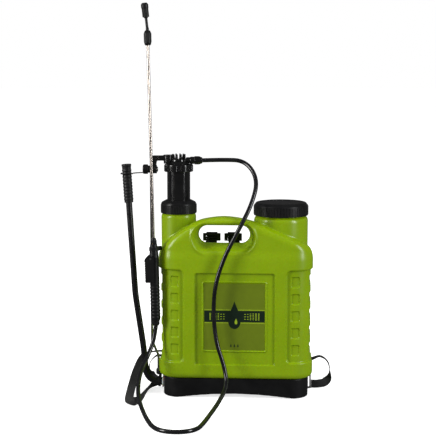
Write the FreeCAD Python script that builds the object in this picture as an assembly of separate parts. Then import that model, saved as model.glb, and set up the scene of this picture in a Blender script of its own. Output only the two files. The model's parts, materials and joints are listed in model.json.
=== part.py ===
import FreeCAD, Part
import math
import os

# Knapsack sprayer: a lever-driven pump and a filler opening on a blow-moulded tank, a lance on a
# hose, and two shoulder straps. Millimetres, +Z up. The label face looks along -Y and the wearer
# stands on the +Y side. The origin is on the floor under the middle of the tank.

V = FreeCAD.Vector

# ---- driving dimensions ------------------------------------------------------------------
WALL = 3.5                      # blow-moulded tank wall
TANK_HALF_W = 193.0             # body half width
TANK_HALF_D = 85.0              # body half depth
TANK_CORNER = 48.0              # body corner radius, seen from above
SEAM_Z = 52.0                   # where the tank sits on its base
BAND_Z = 336.0                  # step between body and shoulder
BAND_PROUD = 3.5                # how far the shoulder stands out over the body
ROOF_Z = 384.0                  # flat roof behind the handle
GABLE_BACK_Y = -34.0            # back face of the raised handle wall
HANDLE_X = -29.0                # middle of the handle
HANDLE_TOP_Z = 464.0
HAND_HOLE_W = 132.0
HAND_HOLE_Z = (400.0, 446.0)
PUMP_X = -150.0
PUMP_NECK_R = 45.0
PUMP_NECK_Z = 470.0
FILLER_X = 115.0
FILLER_NECK_R = 69.5
FILLER_NECK_Z = 466.0
PAD_ROWS = 5                    # sunk rectangles up the front's sides and the flanks
PAD_FIRST_Z = 128.0
PAD_PITCH = 44.0
PAD_X = 154.0
PAD_DEPTH = 1.8
BASE_HALF_W = 187.0
BASE_HALF_D = 83.0
BASE_CORNER = 46.0
BASE_ARCH = 11.0                # rise of the base's front edge
PIVOT_Y = -32.7                 # axis of the pump lever's shaft, along X
PIVOT_Z = 30.0
TUBE_R = 8.0                    # pump lever tube
CRANK_R = 36.0                  # crank arm, pivot to pin
CRANK_RISE = 35.0               # degrees of the arm above level at rest
ROD_X = -221.7                  # upper, long stretch of the connecting rod
ROD_LOW_X = -205.0              # its lower eye, set inward beside the crank arm
ARM_PIN_Z = 583.5
HOOK_WIRE_R = 1.5
CHAMBER_R = 29.8
CHAMBER_CAP_Z = 578.0
OUTLET_Z = 607.0
LANCE_FOOT = V(-203.0, -80.0, 202.0)
LANCE_LEAN = -1.3               # degrees about Y
NOZZLE_BEND = -5.0              # degrees, more lean above the lance nut
NOZZLE_KNEE_Z = 737.0           # where it bends, along the lance from its foot
WEB_W = 22.0                    # strap webbing
WEB_T = 2.0
RUN_FIT = 0.05                  # radial clearance of a turning shaft
HOSE_R = 5.5

# Corners of the hose's route, from the pump outlet to the foot of the trigger handle.
HOSE_ROUTE = [
    (-88, 0, 607), (-38, 0, 609), (24, -12, 608), (57, -48, 562), (42, -82, 502),
    (10, -104, 440), (-26, -107, 372), (-50, -108, 298), (-54, -106, 222), (-46, -108, 150),
    (-27, -115, 98), (-16, -134, 48), (-35, -196, 19), (-52, -268, 8), (-62, -330, 6),
    (-73, -387, 6), (-104, -412, 6), (-144, -412, 6), (-175, -387, 6), (-195, -335, 7),
    (-213, -280, 14), (-229, -240, 34), (-237, -194, 58), (-235, -143, 84), (-222, -102, 112),
    (-207, -81, 152), (-202.9, -80, 187.2),
]

pieces = {}


# ---- shared shapes -----------------------------------------------------------------------
def on_xz(y):
    return lambda a, b: V(a, y, b)


def on_xy(z):
    return lambda a, b: V(a, b, z)


def on_yz(x):
    return lambda a, b: V(x, a, b)


def rounded(corners, place):
    """Closed wire through corners (a, b, radius), each rounded by its own radius."""
    count = len(corners)
    stretches = []
    for i in range(count):
        here = V(corners[i][0], corners[i][1], 0)
        back = V(corners[i - 1][0], corners[i - 1][1], 0) - here
        ahead = V(corners[(i + 1) % count][0], corners[(i + 1) % count][1], 0) - here
        back.normalize()
        ahead.normalize()
        radius = corners[i][2]
        half = back.getAngle(ahead) / 2
        cut = radius / math.tan(half)
        middle = back + ahead
        if radius > 0:
            middle.normalize()
        centre = here + middle * (radius / math.sin(half))
        stretches.append((here + back * cut, centre - middle * radius, here + ahead * cut, radius))
    edges = []
    for i, (start, middle, end, radius) in enumerate(stretches):
        if radius > 0:
            edges.append(Part.Arc(place(start.x, start.y), place(middle.x, middle.y),
                                  place(end.x, end.y)).toShape())
        following = stretches[(i + 1) % count][0]
        if (following - end).Length > 1e-6:
            edges.append(Part.LineSegment(place(end.x, end.y),
                                          place(following.x, following.y)).toShape())
    return Part.Wire(Part.__sortEdges__(edges))


def prism(corners, place, along):
    return Part.Face(rounded(corners, place)).extrude(along)


def plan_block(half_w, y0, y1, radius, z0, z1, x=0.0):
    corners = [(x - half_w, y0, radius), (x + half_w, y0, radius),
               (x + half_w, y1, radius), (x - half_w, y1, radius)]
    return prism(corners, on_xy(z0), V(0, 0, z1 - z0))


def box(x0, x1, y0, y1, z0, z1):
    return Part.makeBox(x1 - x0, y1 - y0, z1 - z0, V(x0, y0, z0))


def rod(start, end, radius):
    way = end - start
    return Part.makeCylinder(radius, way.Length, start, way)


def pipe(start, end, radius, bore):
    return rod(start, end, radius).cut(rod(start, end, bore))


def upright(x, y, z0, z1, radius):
    return rod(V(x, y, z0), V(x, y, z1), radius)


def turned(x, y, corners):
    """Solid of revolution about the upright axis at (x, y); corners are (radius, z, round)."""
    shape = Part.Face(rounded(corners, on_xz(0))).revolve(V(0, 0, 0), V(0, 0, 1), 360)
    shape.translate(V(x, y, 0))
    return shape


def turned_x(x0, y, z, corners):
    """Solid of revolution about a level axis along X; corners are (radius, distance from x0, round)."""
    shape = turned(0, 0, corners)
    shape.rotate(V(0, 0, 0), V(0, 1, 0), 90)
    shape.translate(V(x0, y, z))
    return shape


def fluted(x, y, z0, z1, root, tip, count):
    """Ribbed ring blank: a prism whose outline steps between two radii."""
    points = []
    for i in range(count):
        for share, radius in ((0.05, root), (0.25, tip), (0.6, tip), (0.8, root)):
            angle = 2 * math.pi * (i + share) / count
            points.append(V(x + radius * math.cos(angle), y + radius * math.sin(angle), z0))
    return Part.Face(Part.makePolygon(points + points[:1])).extrude(V(0, 0, z1 - z0))


def stadium(x, z0, z1, width, y):
    radius = (z1 - z0) / 2 - 0.01
    corners = [(x - width / 2, z0, radius), (x + width / 2, z0, radius),
               (x + width / 2, z1, radius), (x - width / 2, z1, radius)]
    return rounded(corners, on_xz(y))


def fused(shapes):
    whole = shapes[0].fuse(shapes[1:]) if len(shapes) > 1 else shapes[0]
    return whole.removeSplitter()


def smooth_path(points, radii):
    """Straight runs joined by tangent arcs; one radius for each inner point."""
    edges = []
    last = points[0]
    for before, here, after, radius in zip(points, points[1:], points[2:], radii):
        back = (before - here).normalize()
        ahead = (after - here).normalize()
        half = back.getAngle(ahead) / 2
        cut = radius / math.tan(half)
        centre = here + (back + ahead).normalize() * (radius / math.sin(half))
        middle = centre + (here - centre).normalize() * radius
        edges.append(Part.LineSegment(last, here + back * cut).toShape())
        edges.append(Part.Arc(here + back * cut, middle, here + ahead * cut).toShape())
        last = here + ahead * cut
    edges.append(Part.LineSegment(last, points[-1]).toShape())
    return Part.Wire(edges)


def swept(path, radius):
    first = path.Edges[0]
    ring = Part.Wire(Part.makeCircle(radius, first.firstVertex().Point,
                                     first.tangentAt(first.FirstParameter)))
    return path.makePipeShell([ring], True, False)


def lean(shape):
    """Puts a piece drawn upright on the lance's own axis in its place."""
    shape.rotate(V(0, 0, 0), V(0, 1, 0), LANCE_LEAN)
    shape.translate(LANCE_FOOT)
    return shape


def keep(name, shape):
    pieces[name] = shape


# ---- tank --------------------------------------------------------------------------------
def gable_corners(inset):
    """Front outline of the shoulder, whose slopes rise to the handle's arch."""
    side = TANK_HALF_W + BAND_PROUD - inset
    top = HANDLE_TOP_Z - inset
    return [(-side, BAND_Z, 0), (side, BAND_Z, 0), (side, 388 - inset, 24), (64, 447 - inset, 60),
            (HANDLE_X + 50, top + 1, 90), (HANDLE_X - 50, top + 1, 90), (-113, 450 - inset, 60),
            (-side, 390 - inset, 26)]


def roof_corners(inset):
    side = TANK_HALF_W + BAND_PROUD - inset
    top = ROOF_Z - inset
    return [(-side, BAND_Z, 0), (side, BAND_Z, 0), (side, top, 22), (-side, top, 22)]


def tank_form(inset):
    """The tank's body and shoulder; inset makes the same form smaller all round."""
    half_d = TANK_HALF_D - inset
    corner = TANK_CORNER - inset
    body = plan_block(TANK_HALF_W - inset, -half_d, half_d, corner, SEAM_Z + inset, BAND_Z + 1)
    outline = plan_block(TANK_HALF_W + BAND_PROUD - inset, -half_d - BAND_PROUD,
                         half_d + BAND_PROUD, corner + BAND_PROUD, BAND_Z, HANDLE_TOP_Z + 5)
    front = -half_d - BAND_PROUD - 1
    gable = prism(gable_corners(inset), on_xz(front), V(0, GABLE_BACK_Y - inset - front, 0))
    roof = prism(roof_corners(inset), on_xz(front), V(0, 2 * half_d + 12, 0))
    shoulder = outline.common(gable.fuse(roof))
    if inset > 0:
        shoulder.translate(V(0, 0, inset))
        shoulder = shoulder.common(outline.common(gable.fuse(roof)))
        throat = plan_block(TANK_HALF_W - inset, -half_d, half_d, corner, BAND_Z - 1, BAND_Z + 9)
        return body.fuse([shoulder, throat])
    return body.fuse(shoulder)


def neck(x, radius, wall, top, thread_r, thread_top, base_z):
    outer = fused([upright(x, 0, base_z, top, radius), upright(x, 0, base_z, thread_top, thread_r)])
    inner = fused([upright(x, 0, base_z - 20, top - wall, radius - wall),
                   upright(x, 0, base_z - 20, thread_top + 1, thread_r - wall)])
    return outer, inner


def hand_hole(grow):
    """Space of the hand hole with its wide front bevel; grow widens it for the tank's wall."""
    low, high = HAND_HOLE_Z
    back = stadium(HANDLE_X, low - grow, high + grow, HAND_HOLE_W + 2 * grow, GABLE_BACK_Y - 14)
    front = stadium(HANDLE_X, low - 18 - grow, high + 6 + grow, HAND_HOLE_W + 22 + 2 * grow,
                    -TANK_HALF_D - BAND_PROUD - 0.5)
    bevel = Part.makeLoft([front, back], True, True)
    through = Part.Face(back).extrude(V(0, 40, 0))
    return bevel.fuse(through)


def front_relief():
    """Shallow sunk panel with the label's frame standing in it."""
    y = -TANK_HALF_D - 1
    panel = prism([(-102, 90, 5), (102, 90, 5), (102, 326, 5), (-102, 326, 5)],
                  on_xz(y), V(0, 2.5, 0))
    frame = prism([(-85, 122, 4), (82, 122, 4), (82, 306, 4), (-85, 306, 4)],
                  on_xz(y), V(0, 2.5, 0))
    sunk = prism([(-80, 126, 3), (78, 126, 3), (78, 302, 3), (-80, 302, 3)],
                 on_xz(y), V(0, 2.5, 0))
    return panel.cut(frame).fuse(sunk)


def pad_reliefs():
    """Five small sunk rectangles up each side of the front, and up each flank."""
    cuts = []
    for row in range(PAD_ROWS):
        z = PAD_FIRST_Z + PAD_PITCH * row
        for side in (-1, 1):
            x = side * PAD_X
            corners = [(x - 10, z - 13, 4), (x + 10, z - 13, 4), (x + 10, z + 13, 4),
                       (x - 10, z + 13, 4)]
            cuts.append(prism(corners, on_xz(-TANK_HALF_D - 5), V(0, 5 + PAD_DEPTH, 0)))
            corners = [(-30, z - 13, 4), (30, z - 13, 4), (30, z + 13, 4), (-30, z + 13, 4)]
            inner = side * (TANK_HALF_W - PAD_DEPTH)
            cuts.append(prism(corners, on_yz(inner), V(side * (5 + PAD_DEPTH), 0, 0)))
    return cuts


def make_tank():
    pump_out, pump_in = neck(PUMP_X, PUMP_NECK_R, WALL, PUMP_NECK_Z, 41.0, 486.0, 360.0)
    fill_out, fill_in = neck(FILLER_X, FILLER_NECK_R, WALL, FILLER_NECK_Z, 62.0, 486.0, 360.0)
    hollow = tank_form(WALL).cut(hand_hole(WALL))
    shell = tank_form(0).fuse([pump_out, fill_out])
    shell = shell.cut([hollow, pump_in, fill_in, hand_hole(0), front_relief()])
    return shell.cut(pad_reliefs()).removeSplitter()


def make_label():
    y = -TANK_HALF_D + 1.5 - 0.6
    return prism([(-78, 128, 2), (76, 128, 2), (76, 300, 2), (-78, 300, 2)], on_xz(y),
                 V(0, 0.6, 0))


# ---- base --------------------------------------------------------------------------------
BASE_WALL = 3.0
BUSH_R = 12.0
RIB_X = -62.0                   # inner rib that carries the shaft's second bush


def base_arch():
    half = 150.0
    arc = Part.Arc(V(-half, -95, 0), V(0, -95, BASE_ARCH), V(half, -95, 0)).toShape()
    low = -5.0
    sides = Part.makePolygon([V(half, -95, 0), V(half, -95, low), V(-half, -95, low),
                              V(-half, -95, 0)])
    return Part.Face(Part.Wire([arc] + sides.Edges)).extrude(V(0, 40, 0))


def make_base():
    skirt = plan_block(BASE_HALF_W, -BASE_HALF_D, BASE_HALF_D, BASE_CORNER, 0, SEAM_Z)
    hollow = plan_block(BASE_HALF_W - BASE_WALL, BASE_WALL - BASE_HALF_D, BASE_HALF_D - BASE_WALL,
                        BASE_CORNER - BASE_WALL, -1, SEAM_Z - BASE_WALL)
    rib = box(RIB_X - 4, RIB_X, PIVOT_Y - 26, PIVOT_Y + 26, 6, SEAM_Z - BASE_WALL + 0.5)
    shaft_way = rod(V(-BASE_HALF_W - 5, PIVOT_Y, PIVOT_Z), V(RIB_X + 5, PIVOT_Y, PIVOT_Z), BUSH_R)
    bosses = [upright(x, y, 14, SEAM_Z - BASE_WALL + 0.5, 7) for x, y in screw_places()]
    holes = [upright(x, y, 10, SEAM_Z + 1, 2.6) for x, y in screw_places()]
    shell = skirt.cut(hollow).fuse([rib] + bosses)
    return shell.cut([base_arch(), shaft_way] + holes).removeSplitter()


def screw_places():
    return [(x, y) for x in (-120.0, 0.0, 120.0) for y in (-62.0, 62.0)]


def make_screws():
    """Screws through the base's bosses; their heads are under the bosses."""
    screws = []
    for x, y in screw_places():
        head = turned(x, y, [(0, 10.5, 0), (5, 10.5, 1.5), (5, 14, 0), (0, 14, 0)])
        screws.append(head.fuse(upright(x, y, 14, SEAM_Z - 0.5, 2.5)))
    return Part.makeCompound(screws)


def make_bush(x, outward):
    """Flanged bush round the lever's shaft."""
    sleeve = rod(V(x, PIVOT_Y, PIVOT_Z), V(x + 7, PIVOT_Y, PIVOT_Z), BUSH_R)
    flange = rod(V(x + outward, PIVOT_Y, PIVOT_Z), V(x + outward + 2, PIVOT_Y, PIVOT_Z), 15.0)
    bore = rod(V(x - 9, PIVOT_Y, PIVOT_Z), V(x + 14, PIVOT_Y, PIVOT_Z), TUBE_R + RUN_FIT)
    return sleeve.fuse(flange).cut(bore)


def make_strap_hook(side):
    """Square bar loop on the base's side, round which the strap's end is sewn."""
    x = side * BASE_HALF_W
    out = x + side * 9.0
    y = 30.0
    bar = 4.0
    upright_bar = box(min(out, out - side * bar), max(out, out - side * bar), y - 2, y + 2, 2, 46)
    arms = []
    for z in (2.0, 42.0):
        arms.append(box(min(x, out), max(x, out), y - 2, y + 2, z, z + bar))
    plate = box(min(x, x + side * 1.5), max(x, x + side * 1.5), y - 7, y + 7, 2, 46)
    return fused([upright_bar, plate] + arms)


# ---- pump --------------------------------------------------------------------------------
def make_barrel():
    return turned(PUMP_X, 0, [(31.2, 140, 0), (34, 140, 1), (34, 486.6, 0), (41, 486.6, 0),
                              (41, 490, 1), (31.2, 490, 0)])


def make_neck_gasket():
    return turned(PUMP_X, 0, [(37.6, 486, 0), (41, 486, 0), (41, 486.6, 0), (37.6, 486.6, 0)])


def make_collar_nut():
    ribs = fluted(PUMP_X, 0, 473, 493, 45.6, 46.8, 44)
    body = turned(PUMP_X, 0, [(41.4, 470.6, 0), (46.2, 470.6, 1), (46.2, 494, 3), (44, 499, 4),
                              (34, 504.5, 2.5), (31.0, 504.5, 1), (31.0, 490.2, 0),
                              (41.4, 490.2, 0)])
    bore = upright(PUMP_X, 0, 470, 490.2, 41.4).fuse(upright(PUMP_X, 0, 490, 510, 31.0))
    return body.fuse(ribs.cut(bore))


def make_inlet_seat():
    """Plug in the barrel's foot: inlet hole, conical seat and a rim under the barrel."""
    return turned(PUMP_X, 0, [(5, 124, 0), (20, 124, 1.5), (20, 130, 1), (34, 130, 1.5),
                              (34, 139.9, 0), (31, 139.9, 0), (31, 150, 1.5), (12, 150, 1),
                              (5, 141, 0)])


def make_inlet_ball():
    return Part.makeSphere(7.0, V(PUMP_X, 0, 149.2))


def make_intake_strainer():
    """Slotted cup pushed over the inlet."""
    cup = turned(PUMP_X, 0, [(20.1, 128, 0), (22, 128, 0.5), (22, 96, 3), (0, 96, 0), (0, 98, 0),
                             (20.1, 98, 1)])
    slots = []
    for i in range(12):
        slot = box(-1.5, 1.5, 15, 30, 101, 122)
        slot.rotate(V(0, 0, 0), V(0, 0, 1), 30 * i)
        slot.translate(V(PUMP_X, 0, 0))
        slots.append(slot)
    return cup.cut(slots)


def make_chamber():
    """Air chamber: the long tube that is also the plunger."""
    return turned(PUMP_X, 0, [(0, 236, 0), (CHAMBER_R, 236, 1), (CHAMBER_R, 590, 1),
                              (CHAMBER_R - 2.6, 590, 0), (CHAMBER_R - 2.6, 240, 1), (6, 240, 0),
                              (0, 240, 0)]).cut(upright(PUMP_X, 0, 230, 245, 6))


def make_piston():
    """Cup seal under the chamber, with the delivery valve's hole."""
    return turned(PUMP_X, 0, [(6, 222, 0), (26, 222, 1), (30.8, 218, 0.5), (30.9, 235.9, 0.5),
                              (6, 235.9, 0)])


def make_delivery_ball():
    return Part.makeSphere(8.0, V(PUMP_X, 0, 246.0))


def make_chamber_cap():
    ribs = fluted(PUMP_X, 0, CHAMBER_CAP_Z + 2, 594, 36.6, 37.6, 36)
    body = turned(PUMP_X, 0, [(CHAMBER_R + 0.2, CHAMBER_CAP_Z, 0), (36.8, CHAMBER_CAP_Z, 1.5),
                              (36.8, 596.5, 2), (24, 598.5, 4), (20, 604.5, 2), (0, 604.5, 0),
                              (0, 590.2, 0), (CHAMBER_R + 0.2, 590.2, 0)])
    return body.fuse(ribs.cut(upright(PUMP_X, 0, 570, 590.2, CHAMBER_R + 0.2)))


def make_crown():
    """Ring of tapered teeth that is gripped to unscrew the chamber's top."""
    disc = turned(PUMP_X, 0, [(0, 604.6, 0), (20, 604.6, 1), (18.5, 610, 2), (0, 610, 0)])
    teeth = []
    for i in range(10):
        tooth = prism([(11.5, 608, 0), (18.5, 608, 0), (18, 623, 0.8), (15.6, 623.5, 0.8)],
                      on_xz(-1.6), V(0, 3.2, 0))
        tooth.rotate(V(0, 0, 0), V(0, 0, 1), 36 * i + 10)
        tooth.translate(V(PUMP_X, 0, 0))
        teeth.append(tooth)
    return disc.fuse(teeth)


def make_outlet():
    """Outlet spigot that carries the hose nut and the hose's barb."""
    body = turned_x(-132.5, 0, OUTLET_Z, [(0, 0, 0), (8, 0, 1), (8, 12, 1), (9.5, 14, 1),
                                          (9.5, 22.9, 0.5), (4, 22.9, 0), (4, 44.2, 0.5), (0, 44.2, 0)])
    bore = rod(V(-125, 0, OUTLET_Z), V(-80, 0, OUTLET_Z), 2.8)
    return body.cut([bore, make_chamber_cap(), upright(PUMP_X, 0, 604, 618, 20.2)])


def hose_nut(x0):
    """Hose nut: ribbed grip that narrows to the hose."""
    shape = turned_x(x0, 0, OUTLET_Z, [(4.3, 0, 0), (10.8, 0, 1.5), (10.8, 12, 2),
                                       (7.5, 20.4, 1), (4.3, 20.4, 0)])
    grips = []
    for i in range(8):
        groove = rod(V(x0 + 2.5, 0, 11.6), V(x0 + 11, 0, 11.6), 1.5)
        groove.rotate(V(0, 0, 0), V(1, 0, 0), 45 * i)
        groove.translate(V(0, 0, OUTLET_Z))
        grips.append(groove)
    return shape.cut(grips)


def make_pump_arm():
    """Bracket on the chamber's cap: post, boss, level bar and the leg that holds the rod's pin."""
    outline = [(-182.5, 596.6, 0), (-170.5, 596.6, 0), (-170.5, 604, 1), (-166.5, 608, 3),
               (-166.5, 619.5, 4), (-188, 621, 3), (-192, 619, 1.5), (-218.2, 619, 3),
               (-218.2, 574.5, 4), (-210.5, 574.5, 4), (-206.8, 606, 5), (-190, 606.2, 3),
               (-182.5, 603, 2)]
    plate = prism(outline, on_xz(-7), V(0, 14, 0))
    boss = upright(-177, 0, 598.5, 621, 11.5)
    eye = rod(V(-218.2, 0, ARM_PIN_Z), V(-206.8, 0, ARM_PIN_Z), 11.0)
    hole = rod(V(-222, 0, ARM_PIN_Z), V(-205, 0, ARM_PIN_Z), 4.0)
    crown_room = upright(PUMP_X, 0, 604, 630, 20.6)
    return fused([plate, boss, eye]).cut([hole, make_chamber_cap(), crown_room])


def make_arm_pin():
    pin = rod(V(-240, 0, ARM_PIN_Z), V(-206.2, 0, ARM_PIN_Z), 4.0)
    head = turned_x(-206.8, 0, ARM_PIN_Z, [(0, 0, 0), (6.5, 0, 0), (6.5, 3, 1.2), (0, 3, 0)])
    return fused([pin, head])


def make_knob():
    """Knob nut on the pin's free end, with a flange against the rod's eye."""
    body = turned_x(-242.6, 0, ARM_PIN_Z, [(0, 0, 0), (11, 0, 2), (12.5, 3, 1), (12.5, 12.2, 1),
                                           (9.5, 13.2, 0.5), (9.5, 17.2, 0.5), (0, 17.2, 0)])
    return body.cut(rod(V(-240, 0, ARM_PIN_Z), V(-220, 0, ARM_PIN_Z), 4.0))


def make_wire_hook():
    """Wire from the knob round the front of the stowed lever's grip."""
    z = 575.0
    points = [V(-243.4, -4, z), V(-257, -13, z), V(-265.6, -24, z), V(-265.6, -48, z),
              V(-295.0, -48, z), V(-295.0, -24, z)]
    return swept(smooth_path(points, [10, 9, 11, 11]), HOOK_WIRE_R)


def make_connecting_rod():
    """Rod from the arm's pin to the crank; its lower end is set inward and has a long eye."""
    half = 3.0
    slide = CRANK_R * (1 - math.cos(math.radians(CRANK_RISE)))
    eye_z = PIVOT_Z + CRANK_R * math.sin(math.radians(CRANK_RISE))
    shank = swept(smooth_path([V(ROD_X, 0, ARM_PIN_Z - 6), V(ROD_X, 0, 132), V(ROD_LOW_X, 0, 92),
                               V(ROD_LOW_X, 0, eye_z + 6)], [22, 22]), 3.2)
    top = rod(V(ROD_X - half, 0, ARM_PIN_Z), V(ROD_X + half, 0, ARM_PIN_Z), 9.5)
    top = top.cut(rod(V(ROD_X - 5, 0, ARM_PIN_Z), V(ROD_X + 5, 0, ARM_PIN_Z), 4.1))
    wide = slide / 2 + 9.3
    low = prism([(-wide, eye_z - 9.3, 8), (wide, eye_z - 9.3, 8), (wide, eye_z + 9.3, 8),
                 (-wide, eye_z + 9.3, 8)], on_yz(ROD_LOW_X - half), V(2 * half, 0, 0))
    reach = slide / 2 + 4.6
    slot = prism([(-reach, eye_z - 4.9, 4.5), (reach, eye_z - 4.9, 4.5), (reach, eye_z + 4.9, 4.5),
                  (-reach, eye_z + 4.9, 4.5)], on_yz(ROD_LOW_X - 5), V(10, 0, 0))
    shank = shank.cut(box(ROD_LOW_X - 9, ROD_LOW_X + 9, -reach, reach, eye_z - 9, eye_z + 5))
    hole = rod(V(ROD_X - 9, 0, ARM_PIN_Z), V(ROD_X + 9, 0, ARM_PIN_Z), 4.1)
    return fused([shank.cut(hole), top, low]).cut(slot)


# ---- lever -------------------------------------------------------------------------------
def lever_path(start_x):
    corners = [(start_x, PIVOT_Z), (-232, PIVOT_Z), (-241, 125), (-261, 262), (-281.6, 596)]
    points = [V(x, PIVOT_Y, z) for x, z in corners]
    return smooth_path(points, [34, 320, 420])


def make_lever_tube():
    return swept(lever_path(-44), TUBE_R).cut(swept(lever_path(-40), TUBE_R - 1.6))


def make_lever_grip():
    """Ribbed sleeve on the lever's top, flared at its end."""
    foot = 8.2
    corners = [(TUBE_R + 0.1, foot, 0), (11.4, foot, 1)]
    ribs = 10
    for i in range(ribs):
        z = foot + 6 + 8.2 * i
        corners += [(11.4, z, 0.8), (12.2, z + 1.8, 0.8), (12.2, z + 4.4, 0.8),
                    (11.4, z + 6.2, 0.8)]
    corners += [(11.6, 100, 0), (12.6, 104, 1), (12.6, 107.5, 2), (0, 107.5, 0), (0, 104.6, 0),
                (TUBE_R + 0.1, 104.6, 0)]
    grip = turned(0, 0, corners)
    grip.rotate(V(0, 0, 0), V(0, 1, 0), -math.degrees(math.atan2(20.6, 334)))
    grip.translate(V(-275.2, PIVOT_Y, 492.0))
    return grip


def crank_pin_place():
    angle = math.radians(CRANK_RISE)
    return PIVOT_Y + CRANK_R * math.cos(angle), PIVOT_Z + CRANK_R * math.sin(angle)


def make_crank_arm():
    """Flat arm welded to the lever's shaft just outside the base."""
    pin_y, pin_z = crank_pin_place()
    x0, x1 = -201.4, -195.8
    hub = rod(V(x0, PIVOT_Y, PIVOT_Z), V(x1, PIVOT_Y, PIVOT_Z), 13.0)
    eye = rod(V(x0, pin_y, pin_z), V(x1, pin_y, pin_z), 8.5)
    angle = math.radians(CRANK_RISE)
    along = V(0, math.cos(angle), math.sin(angle))
    across = V(0, -math.sin(angle), math.cos(angle))
    pivot = V(x0, PIVOT_Y, PIVOT_Z)
    ends = [pivot + across * 11, pivot + along * CRANK_R + across * 7,
            pivot + along * CRANK_R - across * 7, pivot - across * 11]
    web = Part.Face(Part.makePolygon(ends + ends[:1])).extrude(V(x1 - x0, 0, 0))
    holes = [rod(V(x0 - 3, pin_y, pin_z), V(x1 + 3, pin_y, pin_z), 4.0)]
    return fused([hub, eye, web]).cut(holes + [swept(lever_path(-150), TUBE_R)])


def make_crank_pin():
    pin_y, pin_z = crank_pin_place()
    pin = rod(V(-210.4, pin_y, pin_z), V(-193.9, pin_y, pin_z), 4.0)
    head = rod(V(-210.4, pin_y, pin_z), V(-208.4, pin_y, pin_z), 7.0)
    tail = rod(V(-195.8, pin_y, pin_z), V(-193.9, pin_y, pin_z), 6.0)
    return fused([pin, head, tail])


def make_shaft_clip():
    return pipe(V(-55, PIVOT_Y, PIVOT_Z), V(-52.5, PIVOT_Y, PIVOT_Z), 12.0, TUBE_R)


# ---- trigger handle and lance, drawn upright on the lance's own axis -----------------------
def half_of(shape, side):
    """Front or back half of a handle shell, cut in the plane y = 0."""
    cutter = box(-60, 60, min(0, side * 60), max(0, side * 60), -40, 260)
    return shape.common(cutter)


def handle_form():
    corners = [(5.4, 0, 0), (11.6, 0, 1.5)]
    ribs = 10
    for i in range(ribs):
        z = 5 + 8.6 * i
        corners += [(11.6, z, 0.8), (12.5, z + 1.8, 0.8), (12.5, z + 4.8, 0.8),
                    (11.6, z + 6.6, 0.8)]
    corners += [(12.2, 94, 1), (12.2, 164, 3), (9.0, 197.5, 1), (5.4, 197.5, 0)]
    sleeve = turned(0, 0, corners)
    trigger_room = box(-20, -8.4, -20, 20, 97, 156)
    cheek_room = [box(-20, 1.5, 11.2, 20, 97, 169), box(-20, 1.5, -20, -11.2, 97, 169)]
    stem_way = rod(V(-20, 0, 132), V(-5, 0, 132), 3.4)
    pin_way = rod(V(-8, -20, 161), V(-8, 20, 161), 2.5)
    return sleeve.cut([trigger_room, stem_way, pin_way] + cheek_room)


def make_valve_body():
    """Brass tube through the handle, from the hose's barb to the lance's thread."""
    body = turned(0, 0, [(2.8, -14, 0), (4.0, -14, 0.5), (4.0, 0, 0), (5.2, 0, 0.5),
                         (5.2, 207, 0.5), (3.9, 207, 0), (3.9, 190, 0), (2.8, 190, 0)])
    return body.cut(rod(V(-20, 0, 132), V(2, 0, 132), 2.6))


def make_inline_filter():
    return turned(0, 0, [(1.4, 20, 0), (2.6, 20, 0.3), (2.6, 86, 0.3), (1.4, 86, 0)])


def make_trigger():
    """Squeeze lever: a channel that straddles the handle and turns on its top pin."""
    outline = [(-22.5, 99.6, 3), (0.5, 99.6, 3), (1.0, 168, 5), (-15, 168, 6), (-23.5, 160, 6)]
    whole = prism(outline, on_xz(-14.4), V(0, 28.8, 0))
    room = box(-19.2, 8, -12.6, 12.6, 90, 180)
    grooves = [box(-26, -21.8, -20, 20, 108 + 6 * i, 110.4 + 6 * i) for i in range(8)]
    pin_way = rod(V(-8, -20, 161), V(-8, 20, 161), 2.5 + RUN_FIT)
    return whole.cut([room, pin_way] + grooves)


def make_trigger_pin():
    return rod(V(-8, -14.2, 161), V(-8, 14.2, 161), 2.5)


def make_valve_stem():
    stem = rod(V(-18.6, 0, 132), V(-3.2, 0, 132), 2.2)
    button = rod(V(-18.6, 0, 132), V(-16.6, 0, 132), 4.2)
    return fused([stem, button])


def make_trigger_spring():
    """Return spring between the handle and the stem's button, as its outer sleeve."""
    return pipe(V(-16.4, 0, 132), V(-8.6, 0, 132), 4.6, 3.1)


def make_handle_nut():
    """Hose nut under the handle; the handle's own tube passes through it."""
    nut = turned(0, 0, [(4.3, -0.2, 0), (9.8, -0.2, 1), (9.8, -9, 1), (7, -13.8, 1),
                        (4.3, -13.8, 0)])
    grooves = []
    for i in range(10):
        groove = upright(10.6, 0, -9, -1.5, 1.3)
        groove.rotate(V(0, 0, 0), V(0, 0, 1), 36 * i)
        grooves.append(groove)
    return nut.cut(grooves)


def make_lance_nut():
    nut = fluted(0, 0, 198, 207, 7.4, 8.2, 18)
    top = turned(0, 0, [(0, 207, 0), (7.8, 207, 0), (5.2, 214, 1), (0, 214, 0)])
    return nut.fuse(top).cut([upright(0, 0, 197, 207.2, 5.4), upright(0, 0, 205, 216, 3.85)])


def make_lance_tube():
    return turned(0, 0, [(2.9, 192, 0), (3.8, 192, 0.4), (3.8, 708, 0.4), (2.9, 708, 0)])


def make_tip_nut():
    """Knurled nut at the lance's top."""
    core = turned(0, 0, [(3.9, 699, 0), (7.0, 699, 1.5), (9.0, 705, 1), (9.0, 730, 1),
                         (6.0, 736, 1.5), (3.9, 736, 0)])
    knurl = fluted(0, 0, 707, 729, 8.6, 9.6, 20).cut(upright(0, 0, 700, 740, 4))
    return core.fuse(knurl)


def bent(shape):
    """Turns a nozzle piece with the bend above the lance's nut."""
    shape.rotate(V(0, 0, NOZZLE_KNEE_Z), V(0, 1, 0), NOZZLE_BEND)
    return shape


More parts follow.
